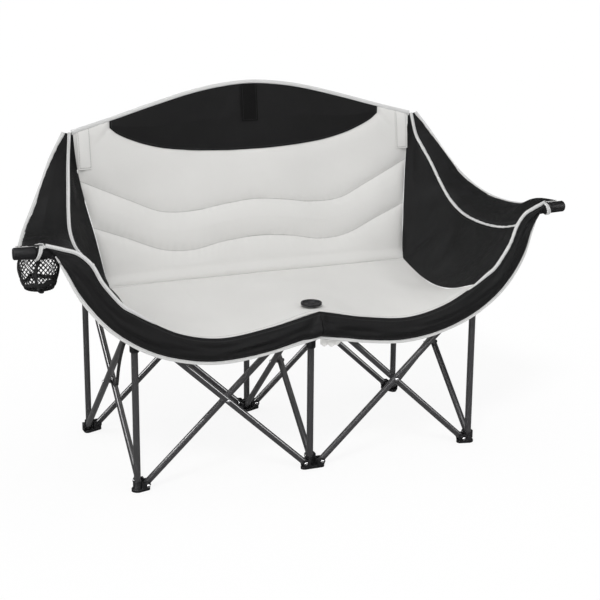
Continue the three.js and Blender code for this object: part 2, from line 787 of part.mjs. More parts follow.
function wingGeometry(towards) {
  const out = clothHalf;
  const lower = (t) => {
    if (t <= wingSideShare) return sideBorder(1 - t / wingSideShare).add(vec(out, 0, 0));
    const s = (1 - t) / (1 - wingSideShare);
    const x = mix(seatEndOut, backBottomHalfWidth, s) + out;
    const z = mix(seatEnd.z, backBottom, s ** seatRiseShare) - sideSag(s);
    return vec(x, mix(seatEnd.y + behindBand, backFoot, s), z);
  };
  const front = (t) => {
    const place = bandTop(mix(cornerShare, startShare, t));
    return place.add(vec(out * (1 - t), behindBand, 0));
  };
  const corner = lower(1);
  const inside = patch(
    lower,
    (t) => innerEdge(t).add(vec(0, t * behindBand, 0)),
    (t) => lower(0).lerp(innerEdge(0), t),
    (t) => (t === 0 ? corner.clone() : front(t))
  );
  const tipFront = (t) => {
    const band = bandTop(mix(startShare, 1, Math.min(t / wingTipShare, 1)));
    band.add(vec(0, behindBand, 0));
    return band.lerp(armrestTip, Math.max(0, t - wingTipShare) / (1 - wingTipShare));
  };
  const strip = patch(
    (t) => innerEdge(t).add(vec(0, t * behindBand, 0)),
    outerEdge,
    (t) => innerEdge(0).lerp(outerEdge(0), t),
    tipFront
  );
  const point = (u, v) => {
    const beyond = (v - wingInnerShare) / (1 - wingInnerShare);
    const place = v <= wingInnerShare ? inside(u, v / wingInnerShare) : strip(u, beyond);
    return vec(towards * place.x, place.y, place.z);
  };
  return sheet(point, () => clothThickness, wingWideSteps, wingTallSteps);
}

// The cup holder's rim hangs against the left armrest, which is open above it
const rimInner = cupRimRadius - cupRimWall;
const rimProbeRadii = [cupRimRadius, cupRimRadius - cupRimWall / 2, rimInner];
const rimProbes = 72;

function rimSeat(wing) {
  const above = new THREE.Mesh(wing, blackCloth);
  const ray = new THREE.Raycaster();
  let lowest = armrestTipHeight;
  for (const radius of rimProbeRadii) {
    for (const [x, y] of arc(-cupOut, cupBack, radius, 0, 2 * Math.PI, rimProbes)) {
      ray.set(vec(x, y, 0), vec(0, 0, 1));
      for (const hit of ray.intersectObject(above)) lowest = Math.min(lowest, hit.point.z);
    }
  }
  return lowest - fit;
}

function cupHoleIn(geometry) {
  const hole = rod(rimInner, 0, armrestTipHeight + overrun, cupSides);
  hole.translate(-cupOut, cupBack, 0);
  return toGeometry(toSolid(geometry).subtract(toSolid(hole)));
}

// The band's own borders, with the share of its length at which the seat ends and at which the
// armrest starts
function shareNear(curve, place) {
  let best = 0;
  for (let t = 0; t <= 1; t += searchStepShare) {
    if (curve(t).distanceTo(place) < curve(best).distanceTo(place)) best = t;
  }
  return best;
}
const cornerShare = shareNear(bandTop, seatEnd);
const startShare = shareNear(bandTop, armrestStart);

function bandGeometry(towards) {
  const start = seamGap / (2 * bandEndOut);
  const point = (u, v) => {
    const t = mix(start, 1, u);
    const place = bandTop(t).lerp(hem(t), v);
    const belly = clothThickness * 2 * Math.sin(Math.PI * v) * (1 - u);
    return vec(towards * Math.max(place.x, seamGap / 2), place.y - belly, place.z);
  };
  return sheet(point, () => clothThickness, bandWideSteps, bandTallSteps);
}

// Assembly
const group = new THREE.Group();
group.position.y = frontLine;

function add(name, geometry, material) {
  const mesh = new THREE.Mesh(geometry, material);
  mesh.name = name;
  group.add(mesh);
  return mesh;
}

for (const post of posts) {
  const front = post.row === 'front';
  const socket = (front ? legRadius : postRadius) + fit;
  const foot = toGeometry(footSolid(armsOf(post, 'foot'), socket));
  add(`foot_${post.name}`, foot.translate(post.x, post.y, 0), blackPlastic);
  const hubBore = front ? innerRadius + fit : postRadius + fit;
  const hub = toGeometry(hubSolid(armsOf(post, 'hub'), hubBore, front));
  add(`hub_${post.name}`, hub.translate(post.x, post.y, 0), blackPlastic);
  const base = footSocketFloor + fit;
  if (front) {
    const top = post.column === 'centre' ? centreLegTop : sideLegTop;
    const outerLeg = cutBy(toSolid(rod(legRadius, base, top, roundSides)),
      [toSolid(rod(legBoreRadius, base + footPlateThickness, top + overrun, roundSides))]);
    add(`leg_outer_${post.name}`, toGeometry(outerLeg).translate(post.x, post.y, 0), graphite);
    const innerTop = hubPivotHeight + hubHeightAbove - hubRoof - fit;
    const inner = tubeBlank(innerRadius, innerFoot, innerTop, innerEndChamfer, roundSides);
    add(`leg_inner_${post.name}`, inner.translate(post.x, post.y, 0), graphite);
    const collarTop = top + fit + collarLip;
    const collarLow = collarTop - collarLength;
    const collarRadius = legRadius + collarWall;
    const collar = cutBy(
      toSolid(turned([
        [0, collarLow], [collarRadius - collarEdge, collarLow], [collarRadius, collarLow + collarLip],
        [collarRadius, collarTop - collarLip], [legRadius + collarEdge, collarTop], [0, collarTop],
      ], roundSides)),
      [
        toSolid(rod(legRadius + fit, collarLow - overrun, top + fit, roundSides)),
        toSolid(rod(innerRadius + fit, top - overrun, collarTop + overrun, roundSides)),
      ]
    );
    add(`collar_${post.name}`, toGeometry(collar).translate(post.x, post.y, 0), blackPlastic);
  } else {
    const top = post.column === 'centre' ? centrePostTop : sidePostTop;
    const tube = tubeBlank(postRadius, base, top, tubeEndChamfer / 2, roundSides);
    add(`post_${post.name}`, tube.translate(post.x, post.y, 0), graphite);
  }
}

const holes = [0, tubeLength / 2, tubeLength];
for (const pair of pairs) {
  const from = postAt(pair.from);
  const to = postAt(pair.to);
  const turn = bayTurn(from, to);
  const firstSide = sideOf(turn, pair.first);
  const secondSide = sideOf(turn, pair.second);
  if (pair.name.startsWith('front')) {
    add(`arm_tube_${to.column}`, armTube(Math.sign(to.x)), graphite);
  } else {
    add(`tube_${pair.name}_first`, placeTube(straightTube(holes), from, to, turn, firstSide), graphite);
  }
  const back = turn + Math.PI;
  const step = -(firstSide - secondSide);
  const second = joined([straightTube([0, tubeLength]), crossingRivet(step)]);
  add(`tube_${pair.name}_second`, placeTube(second, to, from, back, -secondSide), graphite);
}

for (const [name, towards] of [['left', -1], ['right', 1]]) {
  const level = vec(armTail, armTailBack, 0).normalize();
  const cap = cutBy(
    toSolid(turned([
      [0, 0], [capNeckRadius, 0], [capNeckRadius, capNeck], [capRadius, capNeck + capRound],
      [capRadius, capLength - capRound], [capRadius - capRound, capLength], [0, capLength],
    ], roundSides)),
    [toSolid(rod(tubeRadius + fit, -overrun, capLength - capWall, roundSides))]
  );
  const geometry = toGeometry(cap).rotateY(Math.PI / 2).rotateZ(Math.atan2(level.y, level.x));
  geometry.translate(armEndOut, armEndBack, armEndHeight);
  const solid = toSolid(geometry).scale([towards, 1, 1]);
  add(`arm_cap_${name}`, toGeometry(solid), blackPlastic);
  const wing = wingGeometry(towards);
  add(`wing_${name}`, name === 'left' ? cupHoleIn(wing) : wing, blackCloth);
  add(`band_${name}`, bandGeometry(towards), blackCloth);
  const inner = seatPiece(seatStrip + seamGap / 2, seatRidge, towards);
  add(`seat_inner_${name}`, sheet(inner.point, inner.thick, seatWideSteps, seatDeepSteps), greyCloth);
  const outer = seatPiece(seatRidge, undefined, towards);
  add(`seat_outer_${name}`, sheet(outer.point, outer.thick, seatWideSteps, seatDeepSteps), greyCloth);
}

const strip = seatPiece(-seatStrip + seamGap / 2, seatStrip, 1);
add('seat_centre', sheet(strip.point, strip.thick, seatStripWideSteps, seatDeepSteps), greyCloth);
add('back_panel', sheet(backPoint, backThick, backWideSteps, backTallSteps), greyCloth);

// The disc lies on the seat over the centre hub
const discBase = seatFrontHeight + seatPad / 2 + fit;
const disc = turned([
  [0, 0], [discRadius, 0], [discRadius, discHeight - discEdge],
  [discRadius - discEdge, discHeight], [discRadius - discRim, discHeight],
  [discRadius - discRim - discEdge, discDish], [discBoss + discEdge, discDish],
  [discBoss, discHeight - discEdge], [0, discHeight - discEdge],
], discSides);
add('seat_disc', disc.translate(0, 0, discBase), blackPlastic);

// Cup holder: a net cup with a rim, hung under the hole in the left armrest
const rimTop = rimSeat(wingGeometry(-1));
const cupTop = rimTop - fit;
const netShares = [[0, 0.78], [0.1, 0.87], [0.28, 0.96], [0.5, 1], [0.72, 0.95], [0.86, 0.85]];
const netOuter = netShares.map(([up, wide]) => [wide * cupRadius, cupTop - (1 - up) * cupDepth]);
netOuter.push([rimInner - fit, cupTop - cupRimHeight], [rimInner - fit, cupTop]);
const net = turned([
  [0, cupTop - cupDepth],
  ...netOuter,
  ...[...netOuter].reverse().map(([radius, height], i) =>
    [radius - cupWall, i === netOuter.length - 1 ? height + cupWall : height]),
  [0, cupTop - cupDepth + cupWall],
], cupSides);
add('cup_net', net.translate(-cupOut, cupBack, 0), netCloth);
const rimLow = cupTop - cupRimHeight + fit;
const rim = cutBy(
  toSolid(rod(cupRimRadius, rimLow, rimTop, cupSides)),
  [toSolid(rod(rimInner, rimLow - overrun, rimTop + overrun, cupSides))]
);
add('cup_rim', toGeometry(rim).translate(-cupOut, cupBack, 0), blackPlastic);

// A loose strap hangs behind the band beside the front left leg
const strap = new THREE.BoxGeometry(strapWidth, strapThickness, strapLength);
strap.translate(0, 0, -strapLength / 2).rotateY(strapLeanAngle);
add('hanging_strap', strap.translate(-strapOut, -strapFront, strapTop), blackCloth);

export default group;
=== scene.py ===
"""A folding loveseat: its padded cloth, bindings, net and finishes, over its frame."""

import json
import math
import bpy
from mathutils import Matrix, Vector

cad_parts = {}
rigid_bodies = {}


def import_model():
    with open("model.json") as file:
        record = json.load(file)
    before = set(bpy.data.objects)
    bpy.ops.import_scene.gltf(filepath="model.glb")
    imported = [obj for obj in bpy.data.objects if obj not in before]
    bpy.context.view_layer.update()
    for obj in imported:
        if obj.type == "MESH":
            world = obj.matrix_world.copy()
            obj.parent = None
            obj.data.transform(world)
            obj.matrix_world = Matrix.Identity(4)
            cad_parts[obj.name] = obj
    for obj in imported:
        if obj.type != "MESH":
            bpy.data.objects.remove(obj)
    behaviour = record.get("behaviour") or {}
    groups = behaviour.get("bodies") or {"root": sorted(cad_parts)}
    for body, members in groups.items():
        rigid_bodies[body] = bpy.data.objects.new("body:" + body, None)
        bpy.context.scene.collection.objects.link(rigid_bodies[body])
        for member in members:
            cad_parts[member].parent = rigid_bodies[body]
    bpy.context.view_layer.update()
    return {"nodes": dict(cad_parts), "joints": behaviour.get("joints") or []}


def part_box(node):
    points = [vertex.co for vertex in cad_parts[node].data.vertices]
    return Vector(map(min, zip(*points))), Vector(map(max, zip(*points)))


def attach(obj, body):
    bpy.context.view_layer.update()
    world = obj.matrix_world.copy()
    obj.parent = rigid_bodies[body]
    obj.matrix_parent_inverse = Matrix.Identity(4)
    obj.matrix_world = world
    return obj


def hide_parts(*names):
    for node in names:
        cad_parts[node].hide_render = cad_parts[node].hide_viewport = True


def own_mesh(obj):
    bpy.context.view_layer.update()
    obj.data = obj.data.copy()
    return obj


bl_info = {
    "name": "Folding Loveseat",
    "version": (1, 0, 0),
    "blender": (4, 5, 0),
    "location": "View3D > Sidebar > Loveseat",
    "description": "Dresses a folding two-seat chair frame with its cloth, trims and finishes",
    "category": "Add Mesh",
}

import bmesh
import bpy
import numpy as np
from bpy.props import FloatProperty, FloatVectorProperty, IntProperty, PointerProperty
from mathutils import Matrix, Vector

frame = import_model()
JOINTS = {joint["name"]: joint for joint in frame["joints"]}


def centre(node):
    low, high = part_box(node)
    return (low + high) / 2


# Places read from the frame, in metres
BAY = centre("post_rear_right").x
FRONT = centre("leg_outer_front_centre").y
REAR = centre("post_rear_centre").y
HUB_HEIGHT = JOINTS["front_centre_hub_pivot"]["pos_m"][2]
ARM_PIVOT = Vector(JOINTS["arm_right_foot_pivot"]["pos_m"])
HUB_PIVOT = Vector(JOINTS["front_right_hub_pivot"]["pos_m"])
TUBE_RADIUS = 0.008
SEAM_GAP = 0.0004
CLOTH = 0.003

# Back panel
BACK_HALF = BAY + 0.02
BACK_TAPER = 0.056
BACK_BOTTOM = HUB_HEIGHT + 0.02
BACK_CORNER = HUB_HEIGHT + 0.405
BACK_CROWN = BACK_CORNER + 0.105
BACK_FOOT = REAR - 0.118
BACK_TOP = REAR - 0.01035
BACK_SAG = 0.014
SIDE_BORDER_SHARES = [
    (0, 0, 0), (0.065, 0.09, 0.17), (0.17, 0.2, 0.3), (0.3, 0.34, 0.44), (0.44, 0.52, 0.62),
    (0.58, 0.7, 0.79), (0.73, 0.86, 0.91), (0.87, 0.95, 0.98), (1, 1, 1),
]
TOP_EDGE_SHARES = [(0, 1), (0.16, 0.95), (0.33, 0.82), (0.57, 0.54), (0.77, 0.28), (1, 0)]
UPPER_SEAM_SHARES = [
    (0, 0.49), (0.17, 0.47), (0.36, 0.435), (0.54, 0.445), (0.7, 0.525), (1, 0.69),
]
LOWER_SEAM_SHARES = [
    (0, 0.245), (0.2, 0.225), (0.38, 0.185), (0.55, 0.2), (0.76, 0.3), (1, 0.41),
]

# The black panel at the top of the back: its half width, its lowest point and its lower edge
LENS_HALF = 0.375
LENS_LOW = HUB_HEIGHT + 0.336
LENS_CORNER = HUB_HEIGHT + 0.41
LENS_EDGE_SHARES = [
    (0, 0), (0.2, 0.008), (0.4, 0.055), (0.58, 0.15), (0.73, 0.32), (0.86, 0.56), (0.95, 0.79),
    (1, 1),
]

# Seat
SEAT_FRONT = HUB_HEIGHT + 0.019
SEAT_REAR = SEAT_FRONT + 0.003
SEAT_REACH = 0.048
SEAT_CORNER_OUT = BAY + 0.01
SEAT_END_OUT = SEAT_CORNER_OUT * 0.945
SEAT_SIDE_SAG = 0.04
SEAT_STRIP = 0.03
SEAT_RIDGE = 0.238
SEAT_RISE = 1.15
MIDDLE_EASE = 0.02
DISC_DIMPLE = 0.032

# Front band, as in the frame's source: shares of the corner's place, of its fall and reach
BAND_FALL = 0.405
BAND_TOP_SHARES = [
    (0, 1, 1), (0.27, 0.927, 0.88), (0.54, 0.892, 0.8), (0.75, 0.943, 0.84),
    (0.91, 1.036, 0.88), (1, 1.104, 0.86),
]
BAND_RISE_SHARES = [
    (0.13, 0.1, 0.03), (0.26, 0.275, 0.09), (0.38, 0.47, 0.17), (0.49, 0.72, 0.32),
    (0.64, 0.88, 0.55), (0.8, 0.94, 0.76), (1, 1, 1),
]
ARMREST_START_STEP = 3
HEM_SHARES = [
    (0, 0.85, 1.16), (0.3, 0.778, 1), (0.515, 0.751, 0.9), (0.71, 0.776, 0.86),
    (0.93, 0.862, 0.84), (1.13, 1.023, 0.76), (1.255, 1.2, 0.5), (1.315, 1.34, 0.2),
    (1.36, 1.455, 0.02),
]
ARM_END = Vector((BAY + 0.205, FRONT + 0.02, HUB_HEIGHT + 0.208))
BAND_END = Vector((BAY + 0.2, FRONT + 0.008, HUB_HEIGHT + 0.225))

# Wings
WING_TOP_INSET = 0.012
WING_TOP_WIDTH = 0.012
ARMREST_TIP = Vector((BAY + 0.256, FRONT + 0.041, HUB_HEIGHT + 0.2195))
INNER_EDGE_SHARES = [
    (0, 0, 0), (0.12, 0.26, 0.035), (0.225, 0.39, 0.085), (0.37, 0.57, 0.165),
    (0.52, 0.785, 0.245), (0.64, 0.96, 0.335), (0.7, 1.07, 0.47), (0.72, 1.1, 0.64),
    (0.78, 1.09, 0.79), (0.88, 1.06, 0.9), (1, 1, 1),
]
OUTER_EDGE_SHARES = [
    (0, 0, 0), (0.19, 0.32, 0.06), (0.35, 0.64, 0.14), (0.5, 0.9, 0.23), (0.66, 1.1, 0.37),
    (0.79, 1.17, 0.57), (0.9, 1.12, 0.79), (1, 1, 1),
]


class LoveseatSizes(bpy.types.PropertyGroup):
    """Sizes of the soft goods that the frame doesn't hold"""

    quilt_depth: FloatProperty(
        name="Quilt depth", description="How far the padding stands over its seams",
        default=0.011, unit="LENGTH")
    quilt_width: FloatProperty(
        name="Quilt width", description="How far from a seam the padding takes to rise",
        default=0.02, unit="LENGTH")
    pucker: FloatProperty(
        name="Pucker", description="Height of the small gathers along a seam",
        default=0.0006, unit="LENGTH")
    seat_pad: FloatProperty(
        name="Seat pad", description="How far the seat's padding stands over its middle",
        default=0.006, unit="LENGTH")
    binding_width: FloatProperty(
        name="Binding width", description="Width of the silver tape folded over an edge",
        default=0.0102, unit="LENGTH")
    binding_height: FloatProperty(
        name="Binding height", description="Thickness of the silver tape",
        default=0.0052, unit="LENGTH")
    net_cells: IntProperty(
        name="Net cells", description="Diamonds round the cup holder's net", default=26)
    net_strand: FloatProperty(
        name="Net strand", description="Thickness of a strand of the net",
        default=0.0029, unit="LENGTH")


class LoveseatColours(bpy.types.PropertyGroup):
    """Colours of the finishes"""

    grey: FloatVectorProperty(
        name="Grey cloth", description="Seat and back", subtype="COLOR",
        default=(0.71, 0.705, 0.688))
    black: FloatVectorProperty(
        name="Black cloth", description="Wings, band and top panel", subtype="COLOR",
        default=(0.0135, 0.0135, 0.0138))
    silver: FloatVectorProperty(
        name="Binding", description="Tape along the edges", subtype="COLOR",
        default=(0.68, 0.68, 0.675))
    graphite: FloatVectorProperty(
        name="Tube", description="Powder coat on the tubes", subtype="COLOR",
        default=(0.052, 0.051, 0.054))
    plastic: FloatVectorProperty(
        name="Plastic", description="Feet, hubs, collars and caps", subtype="COLOR",
        default=(0.011, 0.011, 0.012))
    net: FloatVectorProperty(
        name="Net", description="Strands of the cup holder", subtype="COLOR",
        default=(0.012, 0.012, 0.0125))
    steel: FloatVectorProperty(
        name="Rivets", description="Bright rivet heads", subtype="COLOR",
        default=(0.72, 0.72, 0.73))


class LoveseatStage(bpy.types.PropertyGroup):
    """Camera and light"""

    camera_place: FloatVectorProperty(
        name="Camera", description="Where the camera stands", subtype="TRANSLATION",
        default=(-1.395, FRONT - 3.2631, HUB_HEIGHT + 1.0458))
    camera_turn: FloatProperty(
        name="Turn", description="How far the camera looks to the right of straight back",
        default=0.3962, subtype="ANGLE")
    camera_down: FloatProperty(
        name="Down", description="How far the camera looks down",
        default=0.2777, subtype="ANGLE")
    camera_roll: FloatProperty(
        name="Roll", description="How far the camera is rolled", default=0.008, subtype="ANGLE")
    focal_pixels: FloatProperty(
        name="Focal length", description="In pixels of a picture 600 wide", default=1511.4)
    sky: FloatProperty(name="Sky", description="Strength of the even light", default=0.8)
    key: FloatProperty(name="Key", description="Strength of the main lamp", default=1.1)


# Numbers and curves

def mix(a, b, t):
    return a + (b - a) * t


def risen(distance, reach):
    """Nought at an edge, and near 1 a few reaches away from it."""
    return 1 - np.exp(-distance / reach)


def hill(x, top, width):
    """1 at top, and near nought two widths away from it."""
    return np.exp(-(((x - top) / width) ** 2))


def eased(table, at):
    """A smooth value read from a table of (place, value) pairs, at one place or an array."""
    at = np.asarray(at, float)
    places = np.array([row[0] for row in table], float)
    values = np.array([row[1] for row in table], float)
    i = np.clip(np.searchsorted(places, at, side="left") - 1, 0, len(places) - 2)
    low = np.maximum(np.arange(len(places)) - 1, 0)
    high = np.minimum(np.arange(len(places)) + 1, len(places) - 1)
    slopes = (values[high] - values[low]) / (places[high] - places[low])
    slopes[0] = 0
    width = places[i + 1] - places[i]
    t = np.clip((at - places[i]) / width, 0, 1)
    return (
        (2 * t**3 - 3 * t**2 + 1) * values[i] + (t**3 - 2 * t**2 + t) * slopes[i] * width
        + (3 * t**2 - 2 * t**3) * values[i + 1] + (t**3 - t**2) * slopes[i + 1] * width
    )


class Run:
    """A smooth line through places, read by its share of length."""

    def __init__(self, places, steps=60):
        given = [np.array(place, float) for place in places]
        padded = [2 * given[0] - given[1], *given, 2 * given[-1] - given[-2]]
        line = []
        for p0, p1, p2, p3 in zip(padded, padded[1:], padded[2:], padded[3:]):
            d0, d1, d2 = (math.sqrt(np.linalg.norm(b - a)) for a, b in
                          ((p0, p1), (p1, p2), (p2, p3)))
            start = ((p1 - p0) / d0 - (p2 - p0) / (d0 + d1) + (p2 - p1) / d1) * d1
            end = ((p2 - p1) / d1 - (p3 - p1) / (d1 + d2) + (p3 - p2) / d2) * d1
            for t in np.linspace(0, 1, steps, endpoint=False):
                line.append(
                    p1 + start * t + (3 * (p2 - p1) - 2 * start - end) * t**2
                    + (2 * (p1 - p2) + start + end) * t**3
                )
        line.append(given[-1])
        self.points = np.array(line)
        steps_along = np.linalg.norm(np.diff(self.points, axis=0), axis=1)
        self.length = steps_along.sum()
        self.share = np.concatenate([[0], np.cumsum(steps_along)]) / self.length

    def __call__(self, t):
        t = np.clip(np.asarray(t, float), 0, 1)
        return np.stack([np.interp(t, self.share, self.points[:, k]) for k in range(3)], -1)

    def nearest(self, place):
        return self.share[np.linalg.norm(self.points - np.array(place), axis=1).argmin()]


def ripple(x, y, size, seed, waves=14):
    """Seeded smooth unevenness, about -1 to 1, with features about size across."""
    seeded = np.random.default_rng(seed)
    total = 0
    for _ in range(waves):
        turn, phase = seeded.uniform(0, 2 * math.pi, 2)
        rate = 2 * math.pi / size * seeded.uniform(0.6, 1.5)
        total = total + np.sin(rate * (x * math.cos(turn) + y * math.sin(turn)) + phase)
    return total / math.sqrt(waves)


def patch(low, high, left, right):
    """A surface between four border lines that meet at its corners, on shares u and v."""
    corners = [line(end)[None, None] for line in (low, high) for end in (0, 1)]

    def surface(u, v):
        u3, v3 = u[..., None], v[..., None]
        across = low(u) * (1 - v3) + high(u) * v3
        along = left(v) * (1 - u3) + right(v) * u3
        flat = corners[0] * (1 - u3) * (1 - v3) + corners[1] * u3 * (1 - v3)
        flat = flat + corners[2] * (1 - u3) * v3 + corners[3] * u3 * v3
        return across + along - flat

    return surface


# Surfaces of the soft goods, right-hand side, as functions of shares

def side_border(up):
    out = eased([(row[0], row[1]) for row in SIDE_BORDER_SHARES], up)
    back = eased([(row[0], row[2]) for row in SIDE_BORDER_SHARES], up)
    x = mix(BACK_HALF - BACK_TAPER, BACK_HALF, out)
    return np.stack([x, mix(BACK_FOOT, BACK_TOP, back), mix(BACK_BOTTOM, BACK_CORNER, up)], -1)


def out_share(x, half):
    """How far out x lies, as a share of half a width."""
    return np.minimum(np.abs(x) / half, 1)


def top_edge(x):
    return mix(BACK_CORNER, BACK_CROWN, eased(TOP_EDGE_SHARES, out_share(x, BACK_HALF)))


def seam_height(shares, x):
    rise = eased(shares, out_share(x, BACK_HALF))
    return BACK_BOTTOM + rise * (BACK_CORNER - BACK_BOTTOM)


def lens_edge(x):
    return mix(LENS_LOW, LENS_CORNER, eased(LENS_EDGE_SHARES, out_share(x, LENS_HALF)))


def back_middle(u, v):
    """The middle of the back panel; u from -1 to 1, v from 0 to 1."""
    border = side_border(v)
    x = u * (border[..., 0] - SEAM_GAP)
    z = mix(BACK_BOTTOM, top_edge(x), v)
    bays = np.sin(math.pi * np.minimum(np.abs(x) / BAY, 1)) ** 2
    y = border[..., 1] + BACK_SAG * bays * np.sin(math.pi * v)
    return np.stack([x, y, z], -1)


def back_shares(x, z):
    """The shares u and v of the back panel's point at x, z."""
    v = (z - BACK_BOTTOM) / (top_edge(x) - BACK_BOTTOM)
    return x / (side_border(v)[..., 0] - SEAM_GAP), v


FORWARD = (0, -1, 0)
UP = np.array([0.0, 0.0, 1.0])
AS_WOUND = (0, 0, 0)


def units(vectors):
    """Vectors of the same directions, one long."""
    return vectors / np.maximum(np.linalg.norm(vectors, axis=-1, keepdims=True), 1e-12)


def normals_of(points, facing):
    """Unit normals of a grid of points, on the side of facing, or as wound where it is nought."""
    normal = units(np.cross(np.gradient(points, axis=1), np.gradient(points, axis=0)))
    return -normal if (normal.mean(axis=(0, 1)) @ np.array(facing)) < 0 else normal


def area_of(points):
    """The area of a grid of points."""
    across, along = np.diff(points, axis=1)[:-1], np.diff(points, axis=0)[:, :-1]
    return float(np.linalg.norm(np.cross(across, along), axis=-1).sum())


def band_height(share):
    return SEAT_FRONT + (share - 1) * BAND_FALL


def side_sag(share):
    return SEAT_SIDE_SAG * np.sin(math.pi * share)


def rounded(x):
    """The distance from the middle, eased so that lines don't kink there."""
    return np.sqrt(np.square(x) + MIDDLE_EASE**2)


def seat_front(x):
    table = [(row[0] * SEAT_CORNER_OUT, band_height(row[1])) for row in BAND_TOP_SHARES]
    return eased(table, rounded(x))


def seat_reach(x):
    table = [(row[0] * SEAT_CORNER_OUT, row[2] * SEAT_REACH) for row in BAND_TOP_SHARES]
    return FRONT - eased(table, rounded(x))


def seat_front_point(x):
    return np.array([x, float(seat_reach(x)), float(seat_front(x))])


SEAT_CORNER = seat_front_point(SEAT_CORNER_OUT)
RISE_PLACES = [
    np.array([mix(SEAT_CORNER[k], BAND_END[k], (out, back, up)[k]) for k in range(3)])
    for out, up, back in BAND_RISE_SHARES
]
BAND_TOP = Run([seat_front_point(row[0] * SEAT_CORNER_OUT) for row in BAND_TOP_SHARES]
               + RISE_PLACES)
HEM = Run([
    (out * SEAT_CORNER_OUT, FRONT - reach * SEAT_REACH, band_height(up))
    for out, up, reach in HEM_SHARES
])
SEAT_END = seat_front_point(SEAT_END_OUT)
ARMREST_START = RISE_PLACES[ARMREST_START_STEP]
CORNER_SHARE = BAND_TOP.nearest(SEAT_END)
START_SHARE = BAND_TOP.nearest(ARMREST_START)


def edge_run(start, end, shares):
    return Run([
        (mix(start[0], end[0], out), mix(start[1], end[1], ahead), mix(start[2], end[2], down))
        for out, down, ahead in shares
    ])


WING_TOP_INNER = (BACK_HALF + WING_TOP_INSET, BACK_TOP, BACK_CORNER - CLOTH)
WING_TOP_OUTER = (BACK_HALF + WING_TOP_INSET + WING_TOP_WIDTH, BACK_TOP, BACK_CORNER)
INNER_EDGE = edge_run(WING_TOP_INNER, ARMREST_START, INNER_EDGE_SHARES)
OUTER_EDGE = edge_run(WING_TOP_OUTER, ARMREST_TIP, OUTER_EDGE_SHARES)


# Meshes

SHARP_ANGLE = math.radians(40)
TAPE_SIDES = 10
TAPE_STITCH_SHARE = 0.18
TAPE_GATHER_SIZE = 0.022


def select_only(piece):
    bpy.ops.object.select_all(action="DESELECT")
    piece.select_set(True)
    bpy.context.view_layer.objects.active = piece


def finished(name, mesh, finish):
    """Links a mesh as a smooth piece with its finish, sharp where faces meet at a large angle."""
    piece = bpy.data.objects.new(name, mesh)
    bpy.context.scene.collection.objects.link(piece)
    mesh.materials.append(materials()[finish])
    select_only(piece)
    bpy.ops.object.shade_smooth_by_angle(angle=SHARP_ANGLE)
    return piece


def grid(columns, rows):
    return np.meshgrid(np.linspace(0, 1, columns), np.linspace(0, 1, rows))


def cloth_mesh(name, places, faces, maps):
    """A closed mesh; maps holds each point's u and v, and its run and offset from a sewn line."""
    mesh = bpy.data.meshes.new(name)
    mesh.from_pydata(places.tolist(), [], faces)
    corners = np.zeros(len(mesh.loops), np.int32)
    mesh.loops.foreach_get("vertex_index", corners)
    layer = mesh.uv_layers.new(name="cloth")
    layer.data.foreach_set("uv", maps[corners, :2].astype(np.float32).ravel())
    layer = mesh.attributes.new("stitch", "FLOAT_VECTOR", "POINT")
    stitches = np.pad(maps[:, 2:], ((0, 0), (0, 1)))
    layer.data.foreach_set("vector", stitches.astype(np.float32).ravel())
    shape = bmesh.new()
    shape.from_mesh(mesh)
    bmesh.ops.recalc_face_normals(shape, faces=shape.faces)
    shape.to_mesh(mesh)
    shape.free()
    return mesh


def shell_mesh(name, middle, front, rear, facing, stitches):
    """A closed sheet round a grid of points, front and rear metres thick on its two faces."""
    rows, columns = middle.shape[:2]
    count = rows * columns
    normal = normals_of(middle, facing)
    front, rear = (np.broadcast_to(side, (rows, columns))[..., None] for side in (front, rear))
    places = np.concatenate([
        (middle + normal * front).reshape(-1, 3), (middle - normal * rear).reshape(-1, 3)])
    at = np.arange(count).reshape(rows, columns)
    near = np.stack([at[:-1, :-1], at[:-1, 1:], at[1:, 1:], at[1:, :-1]], -1).reshape(-1, 4)
    ring = np.concatenate([at[0, :-1], at[:-1, -1], at[-1, :0:-1], at[:0:-1, 0]])
    after = np.roll(ring, -1)
    rim = np.stack([ring, ring + count, after + count, after], -1)
    faces = np.concatenate([near, near[:, ::-1] + count, rim])
    along_u = np.linalg.norm(np.diff(middle, axis=1), axis=2).cumsum(axis=1)
    along_v = np.linalg.norm(np.diff(middle, axis=0), axis=2).cumsum(axis=0)
    u = np.pad(along_u, ((0, 0), (1, 0)))
    u = u - u[:, columns // 2][:, None]
    v = np.pad(along_v, ((1, 0), (0, 0)))
    maps = np.stack([u, v, *stitches], -1).reshape(-1, 4)
    return cloth_mesh(name, places, faces.tolist(), np.concatenate([maps, maps]))


